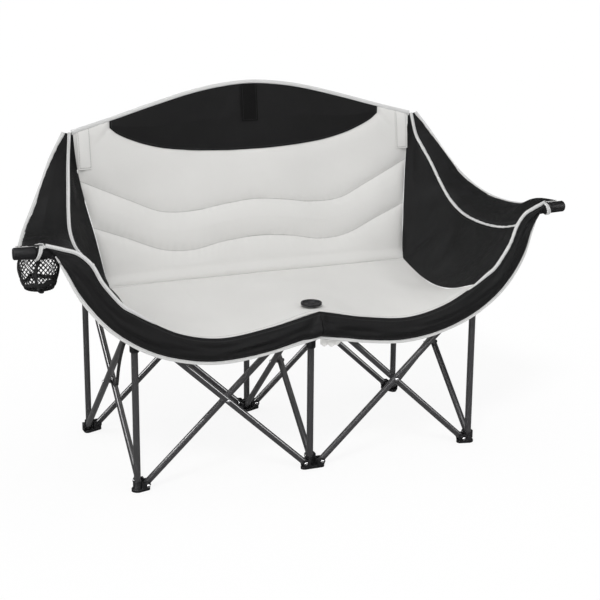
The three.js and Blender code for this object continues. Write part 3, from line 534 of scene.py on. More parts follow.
def tape_mesh(name, line, inward, width, height, gather=0.0, seed=0, taper=0.0):
    """A tape folded over an edge: a closed flattened tube along a line of points."""
    along = units(np.gradient(line, axis=0))
    side = units(inward - along * (inward * along).sum(axis=1, keepdims=True))
    over = np.cross(along, side)
    run = np.append(0, np.linalg.norm(np.diff(line, axis=0), axis=1).cumsum())
    angle = np.arange(TAPE_SIDES) * 2 * math.pi / TAPE_SIDES
    puff = 1 + gather * ripple(run, run * 0, TAPE_GATHER_SIZE, seed)
    across = np.sign(np.cos(angle)) * np.abs(np.cos(angle)) ** 0.8 * width / 2
    up = np.sin(angle)[None] * (height / 2 * puff)[:, None]
    narrow = mix(0.25, 1, np.minimum(run / taper, 1) ** 0.7)[:, None] if taper else 1
    across, up = np.broadcast_to(across, up.shape) * narrow, up * narrow
    places = line[:, None] + side[:, None] * across[..., None] + over[:, None] * up[..., None]
    at = np.arange(up.size).reshape(up.shape)
    turned = np.roll(at, -1, axis=1)
    walls = np.stack([at[:-1], turned[:-1], turned[1:], at[1:]], -1).reshape(-1, 4).tolist()
    ends = [at[0, ::-1].tolist(), at[-1].tolist()]
    run = np.broadcast_to(run[:, None], up.shape)
    maps = np.stack([run, across, run, across - TAPE_STITCH_SHARE * width], -1)
    return cloth_mesh(name, places.reshape(-1, 3), walls + ends, maps.reshape(-1, 4))


# Materials

class Nodes:
    """Short calls for building a node tree."""

    def __init__(self, tree):
        self.tree = tree

    def add(self, kind, **settings):
        node = self.tree.nodes.new(kind)
        for key, value in settings.items():
            if key in node.inputs:
                node.inputs[key].default_value = value
            else:
                setattr(node, key, value)
        return node

    def join(self, source, target):
        self.tree.links.new(source, target)

    def sum(self, operation, first, second):
        node = self.add("ShaderNodeMath", operation=operation)
        for socket, value in zip(node.inputs, (first, second)):
            if isinstance(value, (int, float)):
                socket.default_value = value
            else:
                self.join(value, socket)
        return node.outputs[0]

    def spread(self, value, low, high, to_low=0.0, to_high=1.0, kind="SMOOTHSTEP"):
        node = self.add("ShaderNodeMapRange", interpolation_type=kind)
        for key, number in zip(("From Min", "From Max", "To Min", "To Max"),
                               (low, high, to_low, to_high)):
            node.inputs[key].default_value = number
        self.join(value, node.inputs["Value"])
        return node.outputs["Result"]

    def noise(self, place, scale, detail=3.0):
        node = self.add("ShaderNodeTexNoise", Scale=scale, Detail=detail)
        self.join(place, node.inputs["Vector"])
        return node.outputs["Fac"]

    def blend(self, factor, first, second):
        """A shader mixed by a factor with another."""
        node = self.add("ShaderNodeMixShader")
        for socket, source in zip(node.inputs, (factor, first, second)):
            self.join(source, socket)
        return node.outputs[0]


class Finish(Nodes):
    """A node material, with the changes of colour, roughness and bump that finishes share."""

    def __init__(self, name, colour, roughness, metallic=0.0, sheen=0.0, specular=0.5):
        self.material = bpy.data.materials.new(name)
        self.material.use_nodes = True
        super().__init__(self.material.node_tree)
        self.shader = self.tree.nodes["Principled BSDF"]
        self.colour = tuple(colour)
        self.set(**{"Base Color": (*colour, 1.0), "Roughness": roughness, "Metallic": metallic,
                    "Specular IOR Level": specular})
        if sheen:
            self.set(**{"Sheen Weight": sheen, "Sheen Roughness": 0.45})

    def set(self, **values):
        for socket, value in values.items():
            self.shader.inputs[socket].default_value = value

    def tint(self, factor, shade):
        """Mixes the base colour by a factor towards itself times shade, or another colour."""
        other = shade if isinstance(shade, tuple) else shaded(self.colour, shade)
        node = self.add("ShaderNodeMix", data_type="RGBA")
        self.join(factor, node.inputs["Factor"])
        source = self.shader.inputs["Base Color"]
        if source.is_linked:
            self.join(source.links[0].from_socket, node.inputs["A"])
        else:
            node.inputs["A"].default_value = (*self.colour, 1.0)
        node.inputs["B"].default_value = (*other, 1.0)
        self.join(node.outputs["Result"], source)

    def mottle(self, place, scale, low, high, most, shade):
        """Soft patches of another shade of the base colour."""
        self.tint(self.spread(self.noise(place, scale), low, high, 0.0, most), shade)

    def roughen(self, place, scale, low, high):
        """Roughness that varies from low to high."""
        grain = self.noise(place, scale, 2.0)
        self.join(self.spread(grain, 0.3, 0.7, low, high), self.shader.inputs["Roughness"])

    def bump(self, height, distance, strength=1.0):
        node = self.add("ShaderNodeBump", Distance=distance, Strength=strength)
        self.join(height, node.inputs["Height"])
        source = self.shader.inputs["Normal"]
        if source.is_linked:
            self.join(source.links[0].from_socket, node.inputs["Normal"])
        self.join(node.outputs["Normal"], source)

    def object_place(self):
        return self.add("ShaderNodeTexCoord").outputs["Object"]

    def split(self, vector):
        node = self.add("ShaderNodeSeparateXYZ")
        self.join(vector, node.inputs[0])
        return node.outputs


def shaded(colour, factor):
    return tuple(channel * factor for channel in colour)


def weave(finish, place, pitch, depth):
    """Over and under threads on the cloth's own map, in metres."""
    rate = 2 * math.pi / pitch
    across, along = (finish.sum("SINE", finish.sum("MULTIPLY", part, rate), 0)
                     for part in finish.split(place)[:2])
    threads = finish.sum("MULTIPLY", across, along)
    finish.bump(threads, depth, 0.6)
    return threads


def stitch_line(finish, thread, pitch=0.004, width=0.0011, groove=0.0008):
    """A sewn line where the piece's stitch attribute is nought, with dashes along its run."""
    place = finish.add("ShaderNodeAttribute", attribute_name="stitch").outputs["Vector"]
    run, side, _ = finish.split(place)
    off = finish.sum("ABSOLUTE", side, 0)
    line = finish.spread(off, width * 0.5, width * 1.1, 1.0, 0.0)
    part = finish.sum("FRACT", finish.sum("DIVIDE", run, pitch), 0)
    dash = finish.spread(finish.sum("ABSOLUTE", finish.sum("SUBTRACT", part, 0.5), 0),
                         0.3, 0.42, 1.0, 0.0)
    sewn = finish.sum("MULTIPLY", line, dash)
    finish.tint(sewn, thread)
    finish.bump(finish.spread(off, 0.0, width * 2.5), groove, 0.8)
    finish.bump(sewn, groove * 0.6, 1.0)


def cloth_finish(name, colour, roughness, pitch, depth, thread, mottling=0.12, sheen=0.0,
                 gloss=0.35):
    finish = Finish(name, colour, roughness, sheen=sheen, specular=gloss)
    place = finish.add("ShaderNodeUVMap", uv_map="cloth").outputs["UV"]
    threads = weave(finish, place, pitch, depth)
    finish.mottle(finish.object_place(), 5.0, 0.35, 0.75, mottling, 0.72)
    # Painted shade: the colour is darkened in the hollows between the threads, where the weave's
    # bump is lowest
    finish.tint(finish.spread(threads, -1.0, 1.0, 0.16, 0.0, "LINEAR"), 0.6)
    finish.roughen(place, 90.0, roughness - 0.06, roughness + 0.06)
    stitch_line(finish, shaded(colour, thread))


def tube_finish(colour):
    finish = Finish("graphite powder coat", colour, 0.3, metallic=0.3, specular=0.3)
    finish.set(**{"Coat Weight": 1.0, "Coat IOR": 1.8, "Coat Roughness": 0.1})
    place = finish.object_place()
    finish.mottle(place, 9.0, 0.4, 0.7, 0.2, 0.85)
    finish.bump(finish.noise(place, 1500.0, 2.0), 0.0001, 0.04)
    finish.roughen(place, 260.0, 0.29, 0.34)


def plastic_finish(colour):
    finish = Finish("moulded black plastic", colour, 0.46, specular=0.25)
    place = finish.object_place()
    finish.mottle(place, 30.0, 0.5, 0.8, 0.35, 2.2)
    finish.bump(finish.noise(place, 1400.0, 2.0), 0.00015, 0.5)
    finish.roughen(place, 180.0, 0.4, 0.56)


def steel_finish(colour):
    finish = Finish("bright rivet steel", colour, 0.24, metallic=1.0)
    place = finish.object_place()
    finish.bump(finish.noise(place, 700.0, 2.0), 0.0001, 0.3)
    finish.roughen(place, 420.0, 0.18, 0.34)


def webbing_finish(colour):
    finish = Finish("black webbing", colour, 0.62, sheen=0.03, specular=0.2)
    place = finish.object_place()
    ribs = finish.add("ShaderNodeTexWave", Scale=420.0, Distortion=0.6, bands_direction="Z")
    finish.join(place, ribs.inputs["Vector"])
    finish.bump(ribs.outputs["Fac"], 0.0004, 0.7)
    finish.mottle(place, 60.0, 0.4, 0.8, 0.3, 1.9)


def net_finish(colour):
    finish = Finish("net cord", colour, 0.6, sheen=0.03, specular=0.3)
    place = finish.object_place()
    finish.bump(finish.noise(place, 1500.0, 2.0), 0.0002, 0.7)
    finish.mottle(place, 80.0, 0.4, 0.8, 0.4, 2.0)


def materials():
    """The finishes, made once and then read by name."""
    colours = bpy.context.scene.loveseat_colours
    made = bpy.data.materials
    if "grey padded cloth" not in made:
        cloth_finish("grey padded cloth", colours.grey, 0.82, 0.0011, 0.00012, 0.62, sheen=0.12)
        cloth_finish("black woven cloth", colours.black, 0.5, 0.0011, 0.00016, 2.2, 0.3,
                     gloss=0.07)
        cloth_finish("black pocket cloth", shaded(colours.black, 0.5), 0.6, 0.0011, 0.00016, 2.4,
                     0.3, gloss=0.05)
        cloth_finish("silver binding tape", colours.silver, 0.55, 0.0008, 0.0002, 0.7, sheen=0.1)
        tube_finish(colours.graphite)
        plastic_finish(colours.plastic)
        steel_finish(colours.steel)
        webbing_finish(colours.black)
        net_finish(colours.net)
    return made


# Shared ways of placing and trimming pieces

SIDES = (("left", -1.0), ("right", 1.0))


def mirrored(points, towards):
    return points * np.array([towards, 1.0, 1.0])


def fold_back(piece):
    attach(piece, "rear_centre_post")
    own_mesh(piece)


def fold_wing(piece, side):
    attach(piece, f"rear_{side}_post")
    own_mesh(piece)


def fold_band(piece, side):
    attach(piece, f"front_{side}_hub")
    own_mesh(piece)


def fold_seat(piece, body):
    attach(piece, body)
    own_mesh(piece)


# The silver tapes: shares of the binding's width and height, how uneven they are, their seed
TAPES = {
    "back_top_binding": (1.4, 1.25, 0.05, 0),
    "hem_binding": (1.0, 1.3, 0.06, 2),
    "arm_binding": (0.9, 1.2, 0.2, 4),
    "armrest_binding": (1.0, 1.0, 0.1, 6),
    "wing_seam_binding": (0.86, 1.0, 0.3, 7),
    "arm_end_binding": (1.0, 17 / 26, 0.35, 9),
    "arm_end_cord": (26 / 51, 17 / 26, 0.3, 11),
}


def binding(name, line, inward, sizes, towards=1.0, taper=0.0):
    """A silver tape folded over an edge, on its own side of the middle."""
    wide, high, gather, seed = TAPES[name.removesuffix("_left").removesuffix("_right")]
    mesh = tape_mesh(name, mirrored(line, towards), mirrored(inward, towards),
                     wide * sizes.binding_width, high * sizes.binding_height, gather, seed, taper)
    return finished(name, mesh, "silver binding tape")


def webbing(name, line, inward, width, height):
    """A strip of black webbing that rides on the left arm."""
    mesh = tape_mesh(name, line, inward, width, height)
    piece = finished(name, mesh, "black webbing")
    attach(piece, "arm_left")
    return piece


# Back

# How the padding gathers at its seams, and its unevenness, which the seat shares
GATHER_PITCH = 0.021
GATHER_REACH = 0.014
UNEVEN_HEIGHT = 0.0012
UNEVEN_SIZE = 0.16
UNEVEN_REACH = 0.03

# The padded panel: cloth over its middle, padding at its rear and the rise from its sides
CUSHION_SKIN = 0.0012
CUSHION_REAR_SHARE = 0.45
CUSHION_SIDE_REACH = 0.012

# The black panel at its top: padding under it, lift, edges and the folds from its crown
PATCH_CLEARANCE = 0.0015
YOKE_PADDING_SHARE = 0.35
YOKE_LIFT = 0.0012
YOKE_SKIN = 0.0006
YOKE_TOP_IN = 0.003
YOKE_STITCH_IN = 0.005
YOKE_FOLDS = 9
YOKE_FOLD_HEIGHT = 0.002
YOKE_FOLD_REACH = 0.07
YOKE_FOLD_LIMIT = 0.0024
TOP_TAPE_OVERHANG = 0.004

# The patches over the posts' ends
POCKET_SKIN = 0.0004
POCKET_TOP_IN = 0.004
POCKET_STITCH_IN = 0.0035

# Their names, two sides, height of the lower edge over the hubs, lift, finish and slot
POCKETS = (
    ("pocket_centre", -0.022, 0.022, 0.409, 0.0046, "black pocket cloth", "black_cloth"),
    ("pocket_left", -0.462, -0.427, 0.309, 0.0003, "grey padded cloth", "grey_cloth"),
    ("pocket_right", 0.427, 0.462, 0.309, 0.0003, "grey padded cloth", "grey_cloth"),
)

# The sleeves behind the back: their length, room round the post, wrap and flat sewn edges
SLEEVE_LENGTH = 0.095
SLEEVE_ROOM = 0.0016
SLEEVE_WRAP = 0.62 * math.pi
SLEEVE_EDGE_FROM = 0.72
SLEEVE_EDGE_OUT = 0.012
SLEEVE_EDGE_IN = 0.0062
SLEEVE_SKIN = 0.0007
SLEEVE_STITCH_IN = 0.003


def quilted(x, z, sizes):
    """How far the back's padding stands out, and the offset from the nearest quilted seam."""
    upper, lower = (z - seam_height(shares, x)
                    for shares in (UPPER_SEAM_SHARES, LOWER_SEAM_SHARES))
    nearest = np.where(np.abs(upper) < np.abs(lower), upper, lower)
    edge = np.minimum(z - BACK_BOTTOM, top_edge(x) - z)
    lens = z - lens_edge(x)
    lens = np.where(np.abs(x) < LENS_HALF, lens, np.minimum(lens, LENS_HALF - np.abs(x)))
    near = np.minimum(np.abs(nearest), np.maximum(edge, 0))
    near = np.where(lens > 0, YOKE_PADDING_SHARE * np.minimum(lens, near),
                    np.minimum(near, np.abs(lens)))
    rise = sizes.quilt_depth * risen(near, sizes.quilt_width)
    gathers = sizes.pucker * np.exp(-np.abs(nearest) / GATHER_REACH)
    gathers = gathers * np.sin(2 * math.pi * x / GATHER_PITCH + 2.2 * ripple(x, z, 0.09, 5))
    soft = UNEVEN_HEIGHT * ripple(x, z, UNEVEN_SIZE, 11) * risen(near, UNEVEN_REACH)
    return rise + gathers + soft, nearest


def back_front_surface(x, z, sizes, proud):
    """Points on the back panel's front, lifted by proud."""
    middle = back_middle(*back_shares(x, z))
    rise, _ = quilted(x, z, sizes)
    out = rise + PATCH_CLEARANCE + proud
    return middle + normals_of(middle, FORWARD) * out[..., None]


def back_panel(sizes):
    u, v = grid(231, 121)
    u = 2 * u - 1
    middle = back_middle(u, v)
    x, z = middle[..., 0], middle[..., 2]
    rise, nearest = quilted(x, z, sizes)
    rise = rise * risen((1 - np.abs(u)) * BACK_HALF, CUSHION_SIDE_REACH)
    mesh = shell_mesh("back_cushion", middle, CUSHION_SKIN + rise,
                      CUSHION_SKIN + CUSHION_REAR_SHARE * rise, FORWARD, (x, nearest))
    piece = finished("back_cushion", mesh, "grey padded cloth")
    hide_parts("back_panel")
    fold_back(piece)


def back_yoke(sizes):
    """The black panel sewn over the top of the back, with faint folds from its crown."""
    u, v = grid(161, 41)
    x = (2 * u - 1) * LENS_HALF
    low = lens_edge(x)
    z = mix(low, top_edge(x) - YOKE_TOP_IN, v)
    middle = back_front_surface(x, z, sizes, YOKE_LIFT)
    angle = np.arctan2(x, z - BACK_CROWN - 0.02)
    pull = np.exp(-np.abs(x) / YOKE_FOLD_REACH) * np.sin(YOKE_FOLDS * angle)
    folds = YOKE_FOLD_HEIGHT * pull * v * (1 - v) * 4 + 0.0008 * ripple(x, z, 0.08, 3)
    middle[..., 1] -= np.clip(folds, 0, YOKE_FOLD_LIMIT)
    off = np.minimum(z - low, LENS_HALF - np.abs(x)) - YOKE_STITCH_IN
    mesh = shell_mesh("back_yoke", middle, YOKE_SKIN, YOKE_SKIN, FORWARD, (x, off))
    piece = finished("back_yoke", mesh, "black woven cloth")
    fold_back(piece)
    area_of(middle)


def back_pocket(sizes, name, low, high, bottom, lift, finish, slot):
    """A sewn patch over a post's end, on the back's front."""
    u, v = grid(15, 31)
    x = mix(low, high, u)
    bottom = HUB_HEIGHT + bottom
    z = mix(bottom, top_edge(x) - POCKET_TOP_IN, v)
    middle = back_front_surface(x, z, sizes, lift)
    beside = np.minimum(u, 1 - u) * (high - low)
    off = np.minimum(z - bottom, beside) - POCKET_STITCH_IN
    run = np.where((z - bottom) < beside, x, z)
    mesh = shell_mesh(name, middle, POCKET_SKIN, POCKET_SKIN, FORWARD, (run, off))
    fold_back(finished(name, mesh, finish))


def back_binding(sizes):
    """The silver tape along the top of the back, wider than the others."""
    x = np.linspace(-1, 1, 150) * (BACK_HALF + TOP_TAPE_OVERHANG)
    border = side_border(np.ones_like(x))
    line = np.stack([x, border[:, 1], top_edge(x) - 0.001], -1)
    down = np.tile([0.0, 0.0, -1.0], (len(x), 1))
    fold_back(binding("back_top_binding", line, down, sizes))


def post_sleeve(name, x, top, body):
    """The pocket behind the back that a post's end stands in."""
    u, v = grid(31, 25)
    angle = mix(-SLEEVE_WRAP, SLEEVE_WRAP, u)
    reach = TUBE_RADIUS + SLEEVE_ROOM
    edge = np.maximum(np.abs(2 * u - 1) - SLEEVE_EDGE_FROM, 0) / (1 - SLEEVE_EDGE_FROM)
    out = reach * np.sin(angle) + np.sign(angle) * edge * SLEEVE_EDGE_OUT
    back = REAR + reach * np.cos(angle) * (1 - edge) - edge * SLEEVE_EDGE_IN
    wall = np.stack([x + out, back, top - SLEEVE_LENGTH * (1 - v)], -1)
    off = np.minimum(np.minimum(u, 1 - u) * 0.05, v * SLEEVE_LENGTH) - SLEEVE_STITCH_IN
    mesh = shell_mesh(name, wall, SLEEVE_SKIN, SLEEVE_SKIN, (0, 1, 0), (wall[..., 2], off))
    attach(finished(name, mesh, "black woven cloth"), body)


# Seat

# Its cloth and padding, its edges at front and rear, and its gathers
SEAT_SKIN = 0.0015
SEAT_REAR_SHARE = 0.4
SEAT_FRONT_DROP = 0.0022
SEAT_REAR_GAP = 0.002
SEAT_EDGE_REACH = 0.016
SEAT_SIDE_REACH = 0.06
SEAT_STITCH_IN = 0.007
SEAT_UNEVEN_SIZE = 0.14
SEAT_GATHER_PITCH = 0.024
SEAT_GATHER_REACH = 0.012


def seat_piece(name, low, high, towards, body, node, sizes, columns=53):
    """A padded piece between two fold lines; high is None where it ends at the seat's side."""
    u, v = grid(columns, 81)
    outer = high is None
    far = mix(SEAT_END_OUT, BACK_HALF - BACK_TAPER, v) - CLOTH / 2 if outer else high
    x = mix(low, far, u)
    front = seat_reach(x) + CLOTH / 2 + 2 * SEAM_GAP
    rear = BACK_FOOT - SEAT_REAR_GAP - SEAM_GAP
    y = mix(front, rear, v)
    z = mix(seat_front(x) - SEAT_FRONT_DROP, SEAT_REAR, v**SEAT_RISE)
    edge = ends = np.minimum(v, 1 - v) * (rear - front)
    rise = sizes.seat_pad * risen(edge, SEAT_EDGE_REACH)
    if outer:
        z = z - side_sag(v) * u**2
        beside = (1 - u) * (far - low)
        rise = rise * risen(beside, SEAT_SIDE_REACH)
        edge = np.minimum(edge, beside)
    uneven = ripple(towards * x, y, SEAT_UNEVEN_SIZE, 21)
    rise = rise + UNEVEN_HEIGHT * uneven * risen(edge, UNEVEN_REACH)
    gathers = np.sin(2 * math.pi * x / SEAT_GATHER_PITCH + 2 * ripple(x, y, 0.1, 8))
    rise = rise + sizes.pucker * np.exp(-edge / SEAT_GATHER_REACH) * gathers
    disc = centre("seat_disc")
    beside_disc = np.hypot(towards * x - disc.x, y - disc.y) / DISC_DIMPLE
    rise = rise * (1 - np.exp(-beside_disc**3))
    middle = np.stack([towards * x, y, z], -1)
    mesh = shell_mesh(name, middle, SEAT_SKIN + rise, SEAT_SKIN + SEAT_REAR_SHARE * rise,
                      UP, (x, ends - SEAT_STITCH_IN))
    piece = finished(name, mesh, "grey padded cloth")
    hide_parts(node)
    fold_seat(piece, body)


# Band

# Its rolled and draped front, and the folds and the tuck at its middle
BAND_SKIN = 0.0015
BAND_BELLY = 0.006
BAND_ROLL = 0.005
BAND_FOLDS = 7
BAND_FOLD_HEIGHT = 0.0055
BAND_FOLD_WIDTH = 0.04
BAND_FOLD_SLANT = (0.012, -0.014)
BAND_TUCK = 0.014
BAND_DRAPE = 0.0024
BAND_PULL = 0.0025
BAND_STITCH_IN = 0.0075

# Its tapes: how far they stand off, and where the upper one starts and widens
HEM_TAPE_OUT = (0, 0.001, 0.001)
ARM_TAPE_OUT = (0, 0.0022, -0.0016)
ARM_TAPE_EARLY = 0.04
ARM_TAPE_TAPER = 0.07


def band_middle(t, v):
    place = mix(BAND_TOP(t), HEM(t), v[..., None])
    place[..., 1] -= BAND_BELLY * np.sin(math.pi * v) * (1 - t)
    place[..., 2] += 0.001 * (1 - v) ** 3 * (1 - t)
    return place


def band_piece(side, towards):
    """Half of the band, with folds at its middle and pulls towards the arm's end."""
    t, v = grid(181, 29)
    middle = band_middle(t, v)
    signed = towards * middle[..., 0]
    width = np.linalg.norm(BAND_TOP(t) - HEM(t), axis=-1)
    across = np.sin(math.pi * v)
    roll = BAND_ROLL * across**0.7
    fold_place = mix(*BAND_FOLD_SLANT, v)
    angle = np.arctan2(signed - fold_place, 0.03 + 0.06 * v)
    pinch = hill(signed, fold_place, BAND_FOLD_WIDTH) * across**0.5
    folds = BAND_FOLD_HEIGHT * pinch * (np.cos(BAND_FOLDS * angle) - 0.35)
    folds = folds + BAND_TUCK * v**1.5 * hill(signed, 0.01, 0.035) * (1 - v**8)
    drape = BAND_DRAPE * ripple(signed, 0.5 * v, 0.17, 31) * across
    pulls = BAND_PULL * ripple(0.3 * signed + v * width, v * width, 0.05, 33)
    pulls = pulls * np.clip((t - CORNER_SHARE) / (1 - CORNER_SHARE), 0, 1) * across
    front = BAND_SKIN + np.maximum(roll + folds + drape + pulls, 0)
    middle = mirrored(middle, towards)
    off = np.minimum(v, 1 - v) * width - BAND_STITCH_IN
    name = f"front_band_{side}"
    mesh = shell_mesh(name, middle, front, BAND_SKIN, FORWARD, (BAND_TOP.length * t, off))
    piece = finished(name, mesh, "black woven cloth")
    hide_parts(f"band_{side}")
    fold_band(piece, side)
    area_of(middle)


def band_bindings(side, towards, sizes):
    """The silver tapes along the hem and along the band's upper edge, from the corner out."""
    t = np.linspace(0, 1, 140)
    hem = HEM(t)
    piece = binding(f"hem_binding_{side}", hem - HEM_TAPE_OUT, BAND_TOP(t) - hem, sizes, towards)
    fold_band(piece, side)
    t = np.linspace(CORNER_SHARE - ARM_TAPE_EARLY, 1, 90)
    top = BAND_TOP(t)
    piece = binding(f"arm_binding_{side}", top - ARM_TAPE_OUT, HEM(t) - top, sizes, towards,
                    taper=ARM_TAPE_TAPER)
    fold_band(piece, side)


# Wings

BEHIND_BAND = CLOTH + 2 * SEAM_GAP
WING_TUCK = 0.001
WING_DROP = 0.0015
TIP_ALONG_BAND = 0.55
WING_PART = 0.62
WING_SKIN = 0.0012
WING_STITCH_IN = 0.008
WING_FREE_SHARE = 0.05

# Its folds from the top, pulls towards the seat, softness, and the bumps over the arm's tube
WING_RAYS = 13
WING_RAY_HEIGHT = 0.005
WING_PULL_HEIGHT = 0.005
WING_SOFT_HEIGHT = 0.002
TUBE_BUMP = 0.011
OVER_ARM = {"left": 0.005, "right": 0.016}
SEAM_TAPE_LIFT = (-0.0026, -0.0018, 0.0026)

# The hole over the cup holder and the cylinder that cuts it
CUP_HOLE_RADIUS = 0.037
CUTTER_DEPTH = 0.2
CUTTER_LIFT = 0.05


def wing_lines():
    """The border lines of the wing's side panel and of its armrest."""
    out = np.array([CLOTH / 2, 0, 0])
    behind = np.array([0, BEHIND_BAND, 0])

    def lower(t):
        t = np.asarray(t, float)[..., None]
        up = side_border(np.clip(1 - 2 * t[..., 0], 0, 1)) + out
        s = np.clip(2 - 2 * t, 0, 1)
        x = mix(SEAT_END_OUT, BACK_HALF - BACK_TAPER, s) + CLOTH / 2 - WING_TUCK
        y = mix(SEAT_END[1] + BEHIND_BAND, BACK_FOOT, s)
        z = mix(SEAT_END[2], BACK_BOTTOM, s**SEAT_RISE) - side_sag(s) - WING_DROP
        return np.where(t <= 0.5, up, np.concatenate([x, y, z], -1))

    def inner(t):
        t = np.asarray(t, float)[..., None]
        return INNER_EDGE(t[..., 0]) + behind * t

    def rear_side(t):
        t = np.asarray(t, float)[..., None]
        return mix(lower(0.0), INNER_EDGE(0.0), t)

    def front_side(t):
        t = np.asarray(t, float)[..., None]
        place = BAND_TOP(mix(CORNER_SHARE, START_SHARE, t[..., 0])) + out * (1 - t) + behind
        return np.where(t <= 0, lower(1.0), place)

    def top_side(t):
        t = np.asarray(t, float)[..., None]
        return mix(INNER_EDGE(0.0), OUTER_EDGE(0.0), t)

    def tip_side(t):
        t = np.asarray(t, float)[..., None]
        along = np.minimum(t[..., 0] / TIP_ALONG_BAND, 1)
        band = BAND_TOP(mix(START_SHARE, 1, along)) + behind
        past = np.maximum(0, t - TIP_ALONG_BAND) / (1 - TIP_ALONG_BAND)
        return mix(band, np.array(ARMREST_TIP), past)

    return lower, inner, rear_side, front_side, top_side, tip_side


def wing_piece(side, towards):
    """A wing's side panel and armrest in one sheet, with the folds that run down from its top."""
    lower, inner, rear_side, front_side, top_side, tip_side = wing_lines()
    panel = patch(lower, inner, rear_side, front_side)
    armrest = patch(inner, OUTER_EDGE, top_side, tip_side)
    u, v = grid(111, 105)
    up = np.clip(v / WING_PART, 0, 1)
    over = np.clip((v - WING_PART) / (1 - WING_PART), 0, 1)
    middle = np.where((v <= WING_PART)[..., None], panel(u, up), armrest(u, over))
    y, z = middle[..., 1], middle[..., 2]
    border = np.minimum.reduce([u, 1 - u, v, 1 - v, np.abs(v - WING_PART) * 1.2])
    corner = np.hypot(y - WING_TOP_INNER[1], z - WING_TOP_INNER[2])
    angle = np.arctan2(y - WING_TOP_INNER[1], z - WING_TOP_INNER[2] - 0.02)
    rays = WING_RAY_HEIGHT * np.sin(WING_RAYS * angle + 3 * corner) * hill(corner, 0.12, 0.13)
    pulls = WING_PULL_HEIGHT * ripple(y + 0.8 * z, 0.35 * (y - z), 0.12, 41) * hill(z, 0.5, 0.14)
    soft = WING_SOFT_HEIGHT * ripple(y, z, 0.07, 43)
    lift = np.maximum((rays + pulls + soft) * risen(border, WING_FREE_SHARE), -0.0006)
    lift = lift + TUBE_BUMP * hill(u, 0.945, 0.055) * hill(up, 0.4, 0.28)
    over_arm = hill(u, 0.93, 0.075) * np.sin(math.pi * over**1.5) ** 0.7
    middle[..., 2] += OVER_ARM[side] * over_arm
    stitches = (y + z, np.minimum(np.abs(v - WING_PART), 1 - v) * 0.35 - WING_STITCH_IN)
    middle = mirrored(middle, towards)
    facing = (-towards, -0.4, 0.5)
    middle = middle + normals_of(middle, facing) * lift[..., None]
    name = f"wing_cloth_{side}"
    mesh = shell_mesh(name, middle, WING_SKIN, WING_SKIN, facing, stitches)
    piece = finished(name, mesh, "black woven cloth")
    if side == "left":
        cut_cup_hole(piece)
    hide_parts(f"wing_{side}")
    fold_wing(piece, side)
    area_of(middle)


def cut_cup_hole(piece):
    """Opens the left armrest over the cup holder."""
    cup = centre("cup_rim")
    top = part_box("cup_net")[1].z
    bpy.ops.object.select_all(action="DESELECT")
    bpy.ops.mesh.primitive_cylinder_add(vertices=40, radius=CUP_HOLE_RADIUS, depth=CUTTER_DEPTH,
                                        location=(cup.x, cup.y, top + CUTTER_LIFT))
    cutter = bpy.context.object
    select_only(piece)
    hole = piece.modifiers.new("hole", "BOOLEAN")
    hole.operation = "DIFFERENCE"
    hole.solver = "EXACT"
    hole.object = cutter
    bpy.ops.object.modifier_apply(modifier=hole.name)
    bpy.data.objects.remove(cutter)


def wing_bindings(side, towards, sizes):
    """The silver tapes along the armrest's outer edge and its seam with the side panel."""
    t = np.linspace(0, 1, 150)
    outer = OUTER_EDGE(t)
    piece = binding(f"armrest_binding_{side}", outer, INNER_EDGE(t) - outer, sizes, towards)
    fold_wing(piece, side)
    t = np.linspace(0, 1, 120)
    inner = INNER_EDGE(t)
    piece = binding(f"wing_seam_binding_{side}", inner + SEAM_TAPE_LIFT, OUTER_EDGE(t) - inner,
                    sizes, towards)
    fold_wing(piece, side)


# Arm ends

# The sleeve's radius at the cap, and the bent tube that it follows
ARM_SLEEVE = 0.0158
ARM_SLEEVE_SKIN = 0.0006
ARM_WRINKLE = 0.001
ARM_PLANE = FRONT - 0.018
ARM_STRAIGHT = 0.03
ARM_BEND_IN = 0.1
ARM_BEND_OUT = 0.055
ARM_TAIL_SLOPE = 0.1

# The slanting tape at the sleeve's end, the cord's turns and where the sleeve widens
RING_IN = 0.007
RING_SLANT = 0.0065
RING_ROOM = 0.0006
CORD_TURNS = 4.5
SLEEVE_START = 0.3
SLEEVE_WIDENS = 0.9


def cap_line(side):
    """The middles of the arm cap's inner and outer ends, on the right-hand side."""
    corners = np.array([vertex.co for vertex in frame["nodes"][f"arm_cap_{side}"].data.vertices])
    corners[:, 0] = np.abs(corners[:, 0])
    ends = []
    for edge in (corners[:, 0].min(), corners[:, 0].max()):
        there = corners[np.abs(corners[:, 0] - edge) < 0.004]
        ends.append((there.min(axis=0) + there.max(axis=0)) / 2)
    return ends


def round_line(angle, across, over):
    """Directions at angles round a line, from across towards over."""
    return np.cos(angle)[..., None] * across + np.sin(angle)[..., None] * over


def arm_end_binding(side, towards, sizes):
    """The silver tape that slants round the arm where the cap comes out of the cloth."""
    inner, outer = cap_line(side)
    along = units(outer - inner)
    across = np.cross(UP, along)
    angle = np.linspace(0, 2 * math.pi, 60)
    radius = ARM_SLEEVE + RING_ROOM
    ring = inner + along * (RING_IN - RING_SLANT * np.sin(angle))[:, None]
    ring = ring + radius * round_line(angle, across, UP)
    inward = along + 0.45 * np.cos(angle)[:, None] * across
    piece = binding(f"arm_end_binding_{side}", ring, inward, sizes, towards)
    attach(piece, f"arm_{side}")


